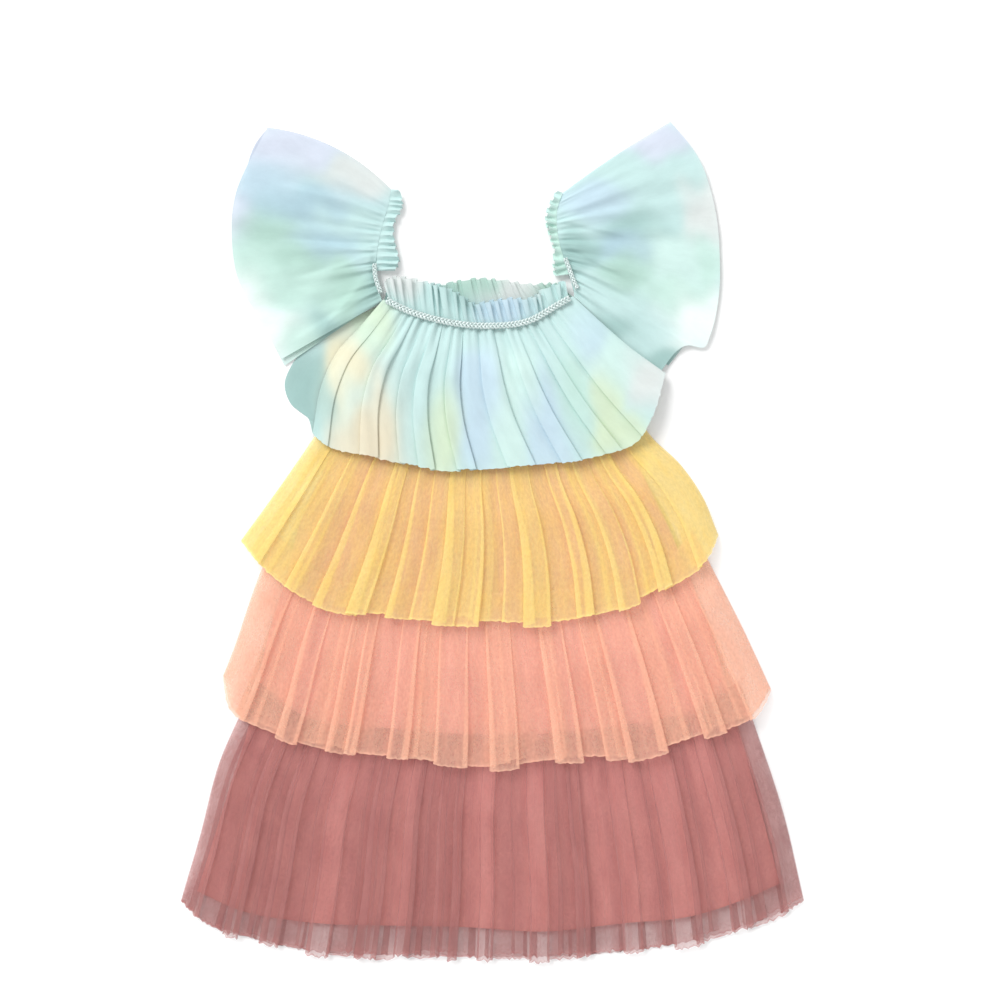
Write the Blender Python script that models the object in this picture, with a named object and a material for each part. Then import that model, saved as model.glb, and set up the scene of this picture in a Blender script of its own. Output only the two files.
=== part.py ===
"""A child's tiered princess dress of dyed voile and tulle, laid out flat on its back.

The dress is a satin lining with four gathered tiers sewn round it, a gathered neck and two
flutter sleeves. Every piece is cut in a front and a back that lie on each other. All sizes below
are in millimetres. X runs to the right across the dress as it is seen from above, Y runs up it
towards the neck, and Z is up from the surface it lies on.
"""

from typing import NamedTuple

import bpy
import numpy as np

MM = 0.001

# The outlines below are measured from a point on the dress's middle line, 1.6 mm below the middle
# of its length, and the part's origin is that middle, on the surface that the dress lies on
OUTLINE_TO_ORIGIN = (0.0, -1.6, 0.0)

# Cloth walls, the room between them, and the heights of their middles from the surface up
WALL = 1.2
GAP = 0.35
ON_FLOOR = WALL / 2
BACK_ROOM = 0.5
OVER_A_BACK = ON_FLOOR + WALL + BACK_ROOM
LINING_BACK = 3.9
LINING_FRONT = LINING_BACK + WALL + GAP
COVERED = 8.1
LOFT = 17.0
FOOT_HEIGHT = 7.5
SIDE_ROUND = 28.0

# Pleats of a front tier, and the share of their height left where the tier above or the hem
# presses them
PLEAT_HEIGHT = 3.6
PLEAT_STEP = 1.6
PLEAT_CROWN = 0.9
COVERED_SHARE = 0.27
FOOT_SHARE = 0.65
BETWEEN_PLEATS = (0.36, 0.68)
NEAR_SIDE = (5.0, 13.0)
CLOSEST_COLUMNS = 1.2
BACK_COLUMNS = 19
TIER_ROWS = (0.0, 0.22, 0.5, 0.78, 1.0)
BACK_ROWS = (0.0, 0.14, 0.22, 0.35, 0.66, 1.0)

# Where heights change over, each as its start and its length: past the hem of the tier above,
# down a tier that has none above it, past the lining's hem, and in from the lining's sides
BACK_SETTLES = (6.0, 20.0)
LOFT_RISES = (9.0, 40.0)
TOP_LOFT_RISES = (0.0, 0.4)
FOOT_SETTLES = (-8.0, 32.0)
LINING_LIFTS = (-17.0, 10.0)


class Fold(NamedTuple):
    """Where a pleat's edge meets the hem, which side lies on top (1 the left, -1 the right), and
    how much lower the cloth to the right of it hangs."""

    x: float
    top: int
    drop: float


class Tier(NamedTuple):
    """One gathered tier: its outline as four smooth curves, and its pleats."""

    name: str
    colour: tuple
    seam: tuple
    hem: tuple
    left: tuple
    right: tuple
    folds: tuple


def smooth(share):
    """A share from 0 to 1 with a soft start and end."""
    share = np.clip(share, 0.0, 1.0)
    return share * share * (3.0 - 2.0 * share)


def eased(value, span):
    """A share that rises softly from 0 to 1 over a span, given as its start and its length."""
    return smooth((value - span[0]) / span[1])


def curve(points, at):
    """Points at the shares `at` of the smooth curve through `points`, by cubic spans."""
    points = np.array(points, float)
    knots = np.concatenate([[0.0], np.cumsum(np.linalg.norm(np.diff(points, axis=0), axis=1))])
    knots /= knots[-1]
    spans = np.diff(knots)[:, None]
    slopes = np.diff(points, axis=0) / spans
    inner = (spans[1:] * slopes[:-1] + spans[:-1] * slopes[1:]) / (spans[1:] + spans[:-1])
    tangents = np.concatenate([slopes[:1], inner, slopes[-1:]])
    at = np.clip(np.asarray(at, float), 0.0, 1.0)
    low = np.clip(np.searchsorted(knots, at, side="right") - 1, 0, len(spans) - 1)
    span = spans[low]
    share = (at - knots[low])[:, None] / span
    return (
        (1 + 2 * share) * (1 - share) ** 2 * points[low]
        + share * (1 - share) ** 2 * span * tangents[low]
        + share**2 * (3 - 2 * share) * points[low + 1]
        + share**2 * (share - 1) * span * tangents[low + 1]
    )


def patch(top, bottom, left, right, across, down):
    """Plan points of a panel: rows `down` it and columns `across` it, filled in from its edges."""
    row, column = np.asarray(down)[:, None, None], np.asarray(across)[None, :, None]
    upper, lower = curve(top, across)[None], curve(bottom, across)[None]
    near, far = curve(left, down)[:, None], curve(right, down)[:, None]
    corners = (
        (1 - row) * ((1 - column) * upper[:, :1] + column * upper[:, -1:])
        + row * ((1 - column) * lower[:, :1] + column * lower[:, -1:])
    )
    return (1 - row) * upper + row * lower + (1 - column) * near + column * far - corners


def share_at_x(edge, x):
    """The share of an edge's length at which it passes each x."""
    shares = np.linspace(0.0, 1.0, 400)
    return np.interp(x, curve(edge, shares)[:, 0], shares)


def past_edge(edge, plan):
    """How far each plan point lies below an edge that runs from left to right, or beside it."""
    line = curve(edge, np.linspace(0.0, 1.0, 400))
    beside = np.abs(plan[..., 0] - np.clip(plan[..., 0], line[0, 0], line[-1, 0]))
    below = np.interp(plan[..., 0], line[:, 0], line[:, 1]) - plan[..., 1]
    return np.where(beside > 0, np.maximum(below, 0) + beside, below)


def from_sides(across, plan):
    """The distance of each point from the nearer side of its panel, along its row."""
    width = np.linalg.norm(np.diff(plan, axis=1), axis=2).sum(axis=1)[:, None]
    return np.minimum(across, 1 - across)[None, :] * width


def rounded(distance, radius):
    """A quarter of an ellipse: 0 at the edge, and 1 from `radius` inwards."""
    return np.sqrt(1 - (1 - np.clip(distance / radius, 0, 1)) ** 2)


def wall_faces(rows, columns):
    """The faces of a closed wall whose two skins are grids of this many rows and columns."""
    upper = np.arange(rows * columns).reshape(rows, columns)
    lower = upper + rows * columns
    faces = []
    for i in range(rows - 1):
        for j in range(columns - 1):
            faces.append((upper[i, j], upper[i + 1, j], upper[i + 1, j + 1], upper[i, j + 1]))
            faces.append((lower[i, j], lower[i, j + 1], lower[i + 1, j + 1], lower[i + 1, j]))
    rim = [*upper[0, :-1], *upper[:-1, -1], *upper[-1, :0:-1], *upper[:0:-1, 0]]
    for a, b in zip(rim, rim[1:] + rim[:1]):
        faces.append((a, b, b + rows * columns, a + rows * columns))
    return [tuple(int(v) for v in face) for face in faces]


def cloth_material(name, colour, roughness):
    """A matt cloth colour."""
    material = bpy.data.materials.new(name)
    material.use_nodes = True
    shader = material.node_tree.nodes["Principled BSDF"]
    shader.inputs["Base Color"].default_value = (*colour, 1.0)
    shader.inputs["Roughness"].default_value = roughness
    shader.inputs["Metallic"].default_value = 0.0
    material.diffuse_color = (*colour, 1.0)
    return material


def put(name, vertices, faces, material):
    """Adds a closed mesh, given in millimetres, with smooth faces and crisp rims."""
    mesh = bpy.data.meshes.new(name)
    mesh.from_pydata(((np.asarray(vertices) + OUTLINE_TO_ORIGIN) * MM).tolist(), [], faces)
    mesh.materials.append(material)
    mesh.shade_smooth()
    mesh.set_sharp_from_angle(angle=np.radians(50))
    thing = bpy.data.objects.new(name, mesh)
    bpy.context.scene.collection.objects.link(thing)
    return thing


def add_wall(name, middle, material, wall=WALL, flat_below=False):
    """A cloth wall with its skins half its thickness on each side of a grid of points."""
    rows, columns = middle.shape[:2]
    normal = np.cross(np.gradient(middle, axis=0), np.gradient(middle, axis=1))
    normal /= np.linalg.norm(normal, axis=2)[:, :, None]
    upper, lower = middle + normal * wall / 2, middle - normal * wall / 2
    if flat_below:
        lower[..., :2], upper[..., :2] = middle[..., :2], middle[..., :2]
        lower[..., 2], upper[..., 2] = middle[..., 2] - wall / 2, middle[..., 2] + wall / 2
    skins = np.concatenate([upper.reshape(-1, 3), lower.reshape(-1, 3)])
    return put(name, skins, wall_faces(rows, columns), material)


def raise_over_back(above, plan):
    """The middle of a back tier: on the floor, or over the tier above it where that one hides it."""
    if above is None:
        return np.full(plan.shape[:2], ON_FLOOR)
    covered = 1 - eased(past_edge(above.hem, plan), BACK_SETTLES)
    return ON_FLOOR + (OVER_A_BACK - ON_FLOOR) * covered


def pleat_columns(tier):
    """The shares across a tier where its wall has a column: both sides of each pleat's step, two
    between pleats, and the rounded sides."""
    folds = share_at_x(tier.hem, [fold.x for fold in tier.folds])
    width = np.linalg.norm(np.diff(curve(tier.hem, np.linspace(0, 1, 200)), axis=0), axis=1).sum()
    step = PLEAT_STEP / width
    ends = np.concatenate([[0.0], folds, [1.0]])
    between = [ends[:-1] * (1 - share) + ends[1:] * share for share in BETWEEN_PLEATS]
    near_side = np.array(NEAR_SIDE) / width
    columns = np.sort(
        np.concatenate([[0, 1], folds - step, folds + step, *between, near_side, 1 - near_side])
    )
    keep = np.concatenate([[True], np.diff(columns) > CLOSEST_COLUMNS / width])
    keep[-1] = True
    return columns[keep], folds, step


def pleat_shape(tier, columns, folds, step):
    """For each column, the pleats' height from -1 to 1, and how far the hem drops there."""
    knots, heights, drops = [0.0], [0.0], [0.0]
    dropped = 0.0
    for share, fold in zip(folds, tier.folds):
        knots += [share - step, share + step]
        heights += [fold.top, -fold.top]
        drops += [dropped, fold.drop]
        dropped = fold.drop
    knots, heights, drops = knots + [1.0], heights + [0.0], drops + [0.0]
    along = np.interp(columns, [0.0, *folds, 1.0], np.arange(len(folds) + 2))
    crown = PLEAT_CROWN / PLEAT_HEIGHT * np.sin(np.pi * (along % 1.0)) ** 2
    return np.interp(columns, knots, heights) + crown, np.interp(columns, knots, drops)


# The satin lining
LINING_COLOUR = (0.74, 0.35, 0.33)
LINING_LEFT = ((-94, 213), (-116, 173), (-129, 129), (-142, 88), (-172, 21), (-187, -35),
               (-203, -89), (-215, -150), (-241, -235), (-265, -312))
LINING_RIGHT = ((68, 217), (92, 173), (112, 129), (124, 88), (158, 15), (180, -37), (199, -89),
                (216, -148), (237, -225), (258, -305))
LINING_NECK = {
    "front": ((-94, 213), (-79, 208), (-47, 198), (-4, 193), (34, 198), (57, 210), (68, 217)),
    "back": ((-94, 213), (-50, 208), (-4, 207), (34, 210), (68, 217)),
}
LINING_HEM = ((-265, -312), (-227, -329), (-173, -339), (-83, -343), (-29, -344), (50, -348),
              (115, -341), (180, -334), (224, -320), (258, -305))
LINING_ROWS = (0.0, 0.2, 0.4, 0.6, 0.72, 0.86, 1.0)
LINING_BACK_COLUMNS = 17
LINING_FOLDS = 9
LINING_FOLD_HEIGHT = 2.2
LINING_FOOT_DROP = 1.9
OVER_LINING_ROOM = 0.2

# Where the lining's folds rise past the peach hem and in from its sides, and where its back is
# let down to its hem
FOLDS_RISE = (-10.0, 50.0)
FOLDS_FROM_SIDE = (4.0, 40.0)
LINING_FOOT = (-60.0, 60.0)


def inside_lining(plan):
    """How far each plan point lies inside the lining, and less than 0 outside it."""
    left, right = (curve(side, np.linspace(0.0, 1.0, 400)) for side in (LINING_LEFT, LINING_RIGHT))
    from_left = plan[..., 0] - np.interp(-plan[..., 1], -left[:, 1], left[:, 0])
    from_right = np.interp(-plan[..., 1], -right[:, 1], right[:, 0]) - plan[..., 0]
    return np.minimum(np.minimum(from_left, from_right), -past_edge(LINING_HEM, plan))


def over_lining(plan):
    """The lowest middle height of cloth that lies on the lining's front."""
    return LINING_FRONT + WALL + GAP + OVER_LINING_ROOM + LINING_FOLD_HEIGHT * folded_lining(plan)


def folded_lining(plan):
    """How far the lining's folds have risen: not at all above the last tier, fully below it."""
    rise = eased(past_edge(PEACH.hem, plan), FOLDS_RISE)
    return rise * eased(inside_lining(plan), FOLDS_FROM_SIDE)


def front_tier(tier, above, material, foot=None, lifts=None):
    """A front tier: low where the tier above hides it, lofted below, and rounded down to the back
    at its sides. `foot` lets its hem down past the lining, and `lifts` gives for each row the least
    height of the left and the right side, where they lie over a sleeve."""
    columns, folds, step = pleat_columns(tier)
    rows = np.array(TIER_ROWS)
    plan = patch(tier.seam, tier.hem, tier.left, tier.right, columns, rows)
    heights, drops = pleat_shape(tier, columns, folds, step)
    run = plan[-1] - plan[0]
    run /= np.linalg.norm(run, axis=1)[:, None]
    plan = plan + (rows**2)[:, None, None] * (run * drops[:, None])[None]
    if above is None:
        shown = eased(rows, TOP_LOFT_RISES)[:, None] * np.ones(len(columns))
    else:
        shown = eased(past_edge(above.hem, plan), LOFT_RISES)
    core = COVERED + (LOFT - COVERED) * shown
    height = PLEAT_HEIGHT * (COVERED_SHARE + (1 - COVERED_SHARE) * shown)
    if foot is not None:
        let_down = eased(past_edge(foot, plan), FOOT_SETTLES)
        core = core - (LOFT - FOOT_HEIGHT) * let_down
        height = height * (1 - (1 - FOOT_SHARE) * let_down)
    side = from_sides(columns, plan)
    edge = raise_over_back(above, plan) + WALL + GAP
    if lifts is not None:
        left, right = (np.array(side_lifts)[:, None] for side_lifts in lifts)
        edge = np.maximum(edge, np.where(columns < 0.5, left, right))
    z = edge + (core - edge) * rounded(side, SIDE_ROUND)
    z = z + height * heights[None] * np.clip(side / SIDE_ROUND, 0, 1)
    lifted = eased(inside_lining(plan), LINING_LIFTS)
    z = np.maximum(z, edge + (over_lining(plan) - edge) * lifted)
    return add_wall(tier.name + "_front", np.dstack([plan, z]), material)


def back_tier(tier, above, material, seam=None, left=None):
    """A back tier, pressed flat on the surface, with its seam end over the tier above it."""
    columns = np.linspace(0.0, 1.0, BACK_COLUMNS)
    left = left or tier.left
    top = seam or tier.seam
    hem = ((left[-1][0], left[-1][1]), *tier.hem[1:])
    plan = patch(top, hem, left, tier.right, columns, np.array(BACK_ROWS))
    z = raise_over_back(above, plan)
    return add_wall(tier.name + "_back", np.dstack([plan, z]), material, flat_below=True)


# The outline of each tier as it lies, as (x, y) points from left to right or from top to bottom
AQUA = Tier(
    "aqua_tier",
    (0.56, 0.77, 0.74),
    seam=((-98, 219), (-79, 210), (-47, 200), (-4, 195), (34, 200), (57, 213), (72, 222)),
    hem=((-162, 99), (-150, 89), (-106, 78), (-43, 67), (14, 69), (61, 73), (97, 79),
         (130, 92), (142, 112), (155, 153)),
    left=((-98, 219), (-119, 195), (-140, 172), (-153, 145), (-162, 99)),
    right=((72, 222), (97, 199), (121, 178), (155, 153)),
    folds=(
        Fold(-146, 1, 0), Fold(-120, -1, 0), Fold(-101, 1, 1), Fold(-85, -1, 0),
        Fold(-67, -1, 1), Fold(-50, 1, 2), Fold(-33, -1, 0), Fold(-13, 1, 1),
        Fold(12, -1, 0), Fold(40, 1, 0), Fold(61, -1, 1), Fold(81, 1, 0),
        Fold(100, -1, 0), Fold(117, 1, 0), Fold(133, -1, 0),
    ),
)
YELLOW = Tier(
    "yellow_tier",
    (0.93, 0.72, 0.24),
    seam=((-137, 127), (-101, 107), (-4, 97), (88, 108), (122, 127)),
    hem=((-226, 3), (-200, -26), (-157, -54), (-83, -66), (-2, -70), (74, -66), (120, -56),
         (160, -36), (192, -13), (203, 8)),
    left=((-137, 127), (-162, 93), (-187, 57), (-226, 3)),
    right=((122, 127), (143, 96), (169, 71), (189, 42), (203, 8)),
    folds=(
        Fold(-207, 1, 0), Fold(-187, -1, 0), Fold(-162, -1, 2), Fold(-133, -1, 0),
        Fold(-112, 1, -2), Fold(-98, -1, 1), Fold(-76, -1, 0), Fold(-56, -1, 4),
        Fold(-33, 1, 4), Fold(-11, 1, -1), Fold(7, -1, 0), Fold(25, -1, 5),
        Fold(53, 1, 1), Fold(74, -1, 0), Fold(93, 1, 0), Fold(111, -1, 2),
        Fold(133, 1, -3), Fold(147, -1, 0), Fold(162, 1, 2), Fold(182, -1, 0),
    ),
)
PEACH = Tier(
    "peach_tier",
    (0.90, 0.50, 0.38),
    seam=((-194, 9), (-155, -26), (-83, -40), (-2, -44), (79, -38), (151, -19), (180, 12)),
    hem=((-242, -118), (-234, -148), (-196, -169), (-133, -187), (-70, -193), (0, -199),
         (52, -193), (122, -191), (187, -172), (236, -152), (250, -130)),
    left=((-194, 9), (-213, -37), (-234, -98), (-242, -118)),
    right=((180, 12), (195, -17), (225, -76), (250, -130)),
    folds=(
        Fold(-220, 1, 0), Fold(-195, -1, 3), Fold(-173, 1, 0), Fold(-151, -1, 1),
        Fold(-134, -1, 0), Fold(-121, 1, -2), Fold(-96, -1, 0), Fold(-74, 1, -1),
        Fold(-54, -1, 2), Fold(-21, 1, 0), Fold(-4, -1, 4), Fold(25, 1, 0),
        Fold(54, -1, 3), Fold(83, 1, -3), Fold(100, -1, 1), Fold(119, -1, 4),
        Fold(158, 1, -2), Fold(187, -1, 3), Fold(210, 1, 0), Fold(229, -1, 1),
    ),
)
ROSE = Tier(
    "rose_tier",
    (0.55, 0.24, 0.23),
    seam=((-211, -123), (-173, -152), (-83, -166), (-2, -171), (97, -165), (187, -145),
          (221, -123)),
    hem=((-280, -321), (-262, -338), (-209, -357), (-151, -368), (-70, -370), (11, -372),
         (83, -370), (155, -362), (209, -350), (263, -330), (280, -321)),
    left=((-211, -123), (-227, -155), (-243, -190), (-264, -267), (-280, -321)),
    right=((221, -123), (234, -159), (261, -240), (280, -321)),
    folds=(
        Fold(-263, 1, 0), Fold(-243, -1, 3), Fold(-227, 1, -1), Fold(-211, -1, 1),
        Fold(-191, 1, -1), Fold(-169, -1, 3), Fold(-146, 1, 1), Fold(-126, -1, 2),
        Fold(-103, 1, 4), Fold(-90, -1, -1), Fold(-74, 1, 2), Fold(-58, -1, 0),
        Fold(-42, -1, 3), Fold(-31, 1, 0), Fold(-15, -1, 2), Fold(1, 1, 1),
        Fold(32, -1, 4), Fold(52, 1, 2), Fold(74, -1, 0), Fold(90, 1, -2),
        Fold(117, -1, 1), Fold(137, 1, -1), Fold(162, -1, 4), Fold(191, 1, 2),
        Fold(214, -1, 0), Fold(236, 1, 3), Fold(261, -1, 0),
    ),
)
TIERS = (AQUA, YELLOW, PEACH, ROSE)

# The aqua tier's sides lie over the sleeves: at the left its corner alone, at the right all of it
AQUA_SIDE_LIFTS = ((8.0, 3.0, 2.2, 2.2, 2.2), (8.2, 8.4, 8.4, 8.4, 8.4))

# The aqua tier's back shows at the left, past the front
AQUA_BACK_SEAM = ((-98, 216), (-50, 212), (-4, 211), (34, 214), (72, 222))
AQUA_BACK_LEFT = ((-98, 216), (-137, 197), (-163, 180), (-181, 160), (-187, 143), (-181, 125),
                  (-166, 113), (-162, 99))


def lining(side, material):
    """A satin panel from the neck to just above the last tier's hem, with soft folds low down."""
    rows = np.array(LINING_ROWS)
    count = LINING_FOLDS * 4 + 1 if side == "front" else LINING_BACK_COLUMNS
    columns = np.linspace(0.0, 1.0, count)
    plan = patch(LINING_NECK[side], LINING_HEM, LINING_LEFT, LINING_RIGHT, columns, rows)
    z = np.full(plan.shape[:2], LINING_BACK if side == "back" else LINING_FRONT)
    if side == "front":
        wave = 0.5 - 0.5 * np.cos(2 * np.pi * LINING_FOLDS * columns)
        z = z + LINING_FOLD_HEIGHT * folded_lining(plan) * wave[None]
    let_down = eased(past_edge(LINING_HEM, plan), LINING_FOOT) * (side == "back")
    z = z - LINING_FOOT_DROP * let_down
    return add_wall("lining_" + side, np.dstack([plan, z]), material, flat_below=side == "back")


# Frills of the same voile stand out past the gathers, at the neck and along each sleeve
FRILL_WALL = 1.0
FRILL_LIFT = 0.7
FRILL_DIP = 1.6


class Frill(NamedTuple):
    """A gathered strip: the seam it grows from, its free edge, its waves, and for the seam and
    the free edge the middle height and how far the waves rise and fall."""

    name: str
    seam: tuple
    edge: tuple
    waves: int
    seam_height: float
    edge_height: float
    seam_wave: float
    edge_wave: float


NECK_FRILLS = (
    Frill("neck_frill_front",
          seam=((-92, 216), (-79, 210), (-47, 200), (-4, 195), (34, 200), (57, 213), (68, 220)),
          edge=((-98, 236), (-90, 239), (-79, 239), (-66, 236), (-46, 231), (-28, 223),
                (-18, 216), (-1, 218), (14, 220), (35, 221), (46, 229), (57, 233), (65, 236)),
          waves=20, seam_height=8.1, edge_height=8.8, seam_wave=0.8, edge_wave=3.0),
    Frill("neck_frill_back",
          seam=AQUA_BACK_SEAM,
          edge=((-94, 232), (-76, 235), (-47, 234), (-20, 238), (7, 237), (34, 234), (57, 235)),
          waves=14, seam_height=1.4, edge_height=2.3, seam_wave=0.5, edge_wave=1.4),
)


def frill(made, material):
    """A gathered strip whose waves open from its seam to its free edge, which dips between them."""
    phase = np.linspace(0.0, made.waves, made.waves * 4 + 1)
    columns, rows = phase / made.waves, np.array([0.0, 0.5, 1.0])
    seam, edge = curve(made.seam, columns), curve(made.edge, columns)
    away = edge - seam
    away /= np.linalg.norm(away, axis=1)[:, None]
    start = seam + away * FRILL_LIFT
    wave, dip = np.cos(2 * np.pi * phase), FRILL_DIP * np.cos(np.pi * phase) ** 2
    row = rows[:, None, None]
    plan = (1 - row) * start[None] + row * (edge + away * dip[:, None])[None]
    share = rows[:, None]
    middle = made.seam_height + (made.edge_height - made.seam_height) * share
    height = made.seam_wave + (made.edge_wave - made.seam_wave) * share
    z = middle + height * wave[None]
    return add_wall(made.name, np.dstack([plan, z]), material, wall=FRILL_WALL)


# The sleeves: a fan folded along its top edge, gathered where it meets the neck
class Spoke(NamedTuple):
    """One section of a sleeve, from its gathered edge to its free edge."""

    gather: tuple
    outer: tuple


SLEEVE_WALL = 1.0
SLEEVE_HIGH = 5.2
SLEEVE_LOW = SLEEVE_WALL / 2
SLEEVE_OVER_BACK = WALL + GAP
SLEEVE_FOLD = 2.9
SLEEVE_WAVE = 1.9
SLEEVE_ROUND = 26.0
SLEEVE_ROWS = (0.0, 0.14, 0.4, 0.7, 1.0)
SLEEVE_COLUMNS = {"front": 20, "back": 13}

# The sleeve's waves open from this share of their height at the gathers, and flatten again by
# a share towards its free edge
SLEEVE_OPENS = (0.0, 0.3)
GATHERED_SHARE = 0.45
FREE_EDGE_LOSS = 0.35

# How far from the bodice its back ply comes down off the bodice's back
SLEEVE_SETTLES = (12.0, 14.0)

# How far the folded top edge of each sleeve bows out, over this share of each ply
SLEEVE_BOW = {"left": 11.0, "right": 2.0}
BOWED = (0.55, 0.45)
SLEEVES = {
    "left": {
        "front": (
            Spoke((-99, 217), (-189, 166)), Spoke((-103, 232), (-209, 201)),
            Spoke((-105, 245), (-229, 240)), Spoke((-104, 259), (-234, 276)),
            Spoke((-101, 277), (-231, 312)), Spoke((-97, 292), (-221, 338)),
            Spoke((-93, 306), (-211, 357)), Spoke((-91, 318), (-202, 374)),
        ),
        "back": (
            Spoke((-92, 310), (-213, 360)), Spoke((-95, 296), (-223, 328)),
            Spoke((-101, 272), (-229, 275)), Spoke((-104, 245), (-215, 222)),
            Spoke((-103, 230), (-200, 186)), Spoke((-100, 219), (-187, 160)),
        ),
    },
    "right": {
        "front": (
            Spoke((73, 220), (147, 150)), Spoke((73, 229), (175, 178)),
            Spoke((71, 236), (191, 177)), Spoke((69, 242), (195, 186)),
            Spoke((65, 254), (203, 221)), Spoke((60, 271), (204, 256)),
            Spoke((58, 284), (200, 300)), Spoke((58, 298), (184, 348)),
            Spoke((63, 315), (160, 379)),
        ),
        "back": (
            Spoke((59, 304), (178, 356)), Spoke((58, 292), (191, 322)),
            Spoke((60, 272), (196, 268)), Spoke((67, 248), (190, 220)),
            Spoke((71, 234), (176, 184)), Spoke((74, 223), (158, 160)),
        ),
    },
}


# Each sleeve's frill: which spokes its seam passes, its free edge and its waves
SLEEVE_FRILLS = {
    "left": (slice(2, None), ((-86, 245), (-83, 254), (-86, 267), (-88, 281), (-87, 289),
                              (-80, 302), (-82, 317)), 11),
    "right": (slice(3, None), ((55, 240), (54, 248), (54, 264), (50, 278), (47, 293), (50, 304),
                               (57, 317)), 11),
}


def sleeve_frill(side, material):
    """The frill that carries on from a sleeve's gathers towards the neck opening."""
    passed, edge, waves = SLEEVE_FRILLS[side]
    seam = tuple(spoke.gather for spoke in SLEEVES[side]["front"][passed])
    made = Frill("sleeve_frill_" + side, seam, edge, waves, seam_height=4.6, edge_height=5.4,
                 seam_wave=0.8, edge_wave=3.4)
    return frill(made, material)


def sleeve_ply(side, ply):
    """One ply of a sleeve: straight spokes, but for those by the folded top edge, which bow."""
    spokes = SLEEVES[side][ply]
    if ply == "back":
        spokes = (SLEEVES[side]["front"][-1], *spokes)
    count = SLEEVE_COLUMNS[ply]
    columns, rows = np.linspace(0.0, 1.0, count), np.array(SLEEVE_ROWS)
    gather = curve([spoke.gather for spoke in spokes], columns)
    outer = curve([spoke.outer for spoke in spokes], columns)
    row = rows[:, None, None]
    run = outer - gather
    aside = np.stack([run[:, 1], -run[:, 0]], axis=1) / np.linalg.norm(run, axis=1)[:, None]
    upwards = aside * np.sign(aside[:, 1:])
    bow = SLEEVE_BOW[side] * eased(columns if ply == "front" else 1 - columns, BOWED)
    plan = gather[None] + row * run[None] + 4 * row * (1 - row) * (upwards * bow[:, None])[None]
    from_fold = np.linalg.norm(plan - (plan[:, -1:] if ply == "front" else plan[:, :1]), axis=2)
    if ply == "front":
        opened = eased(rows, SLEEVE_OPENS)[:, None]
        wave = np.cos(np.pi * np.arange(count))[None]
        wave = wave * (GATHERED_SHARE + (1 - GATHERED_SHARE) * opened)
        wave = wave * np.clip(from_fold / SLEEVE_ROUND, 0, 1)
        z = SLEEVE_FOLD + (SLEEVE_HIGH - SLEEVE_FOLD) * rounded(from_fold, SLEEVE_ROUND)
        z = z + SLEEVE_WAVE * wave * (1 - FREE_EDGE_LOSS * rows[:, None])
    else:
        to_body = np.linalg.norm(plan - plan[:, -1:], axis=2)
        z = SLEEVE_LOW + SLEEVE_OVER_BACK * (1 - eased(to_body, SLEEVE_SETTLES))
    return np.dstack([plan, z])


def sleeve(side, material):
    """A flutter sleeve: its front ply is folded over its back ply along the top edge."""
    plies = np.concatenate([sleeve_ply(side, "front"), sleeve_ply(side, "back")], axis=1)
    return add_wall("sleeve_" + side, plies, material, wall=SLEEVE_WALL)


# Silver braid sewn over the gathers
BRAID_WIDTH = 5.0
BRAID_HEIGHT = 2.2
BRAID_SIDES = 8
BRAID_CLEAR = 0.7


class Braid(NamedTuple):
    """A length of braid: its line in plan, how many sections it has, and its middle height."""

    name: str
    line: tuple
    sections: int
    height: float


BRAIDS = (
    Braid("neck_braid_front",
          ((-95, 218), (-79, 210), (-47, 200), (-4, 195), (34, 200), (57, 213), (69, 220)), 30,
          COVERED + PLEAT_HEIGHT * COVERED_SHARE + WALL / 2 + BRAID_CLEAR + BRAID_HEIGHT / 2),
    Braid("sleeve_braid_left", ((-106, 251), (-105, 240), (-102, 230), (-100, 225)), 9, 8.3),
    Braid("sleeve_braid_right", ((65, 256), (69, 246), (73, 235), (76, 229)), 9, 8.3),
)


def braid(made, material):
    """A flattened round braid, as an ellipse carried along its line."""
    line = curve(made.line, np.linspace(0.0, 1.0, made.sections))
    run = np.gradient(line, axis=0)
    side = np.stack([run[:, 1], -run[:, 0]], axis=1) / np.linalg.norm(run, axis=1)[:, None]
    turn = 2 * np.pi * np.arange(BRAID_SIDES) / BRAID_SIDES
    plan = line[:, None] + side[:, None] * (np.cos(turn) * BRAID_WIDTH / 2)[None, :, None]
    z = np.broadcast_to(made.height + np.sin(turn) * BRAID_HEIGHT / 2, plan.shape[:2])
    ring = np.arange(made.sections * BRAID_SIDES).reshape(made.sections, BRAID_SIDES)
    after = np.roll(ring, -1, axis=1)
    faces = np.stack([ring[:-1], ring[1:], after[1:], after[:-1]], axis=2).reshape(-1, 4).tolist()
    faces += [ring[0].tolist(), ring[-1, ::-1].tolist()]
    return put(made.name, np.dstack([plan, z]).reshape(-1, 3), faces, material)


def build_dress():
    """Builds every piece of the dress."""
    for thing in list(bpy.data.objects):
        bpy.data.objects.remove(thing)
    voile = cloth_material("dyed_voile", AQUA.colour, 0.85)
    satin = cloth_material("rose_satin", LINING_COLOUR, 0.45)
    silver = cloth_material("silver_braid", (0.72, 0.76, 0.74), 0.4)
    above = None
    for tier in TIERS:
        cloth = voile if tier is AQUA else cloth_material(tier.name + "_tulle", tier.colour, 0.9)
        if tier is AQUA:
            front_tier(tier, above, cloth, lifts=AQUA_SIDE_LIFTS)
            back_tier(tier, above, cloth, seam=AQUA_BACK_SEAM, left=AQUA_BACK_LEFT)
        else:
            front_tier(tier, above, cloth, foot=LINING_HEM if tier is ROSE else None)
            back_tier(tier, above, cloth)
        above = tier
    for side in ("front", "back"):
        lining(side, satin)
    for made in NECK_FRILLS:
        frill(made, voile)
    for side in SLEEVES:
        sleeve(side, voile)
        sleeve_frill(side, voile)
    for made in BRAIDS:
        braid(made, silver)


build_dress()
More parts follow.
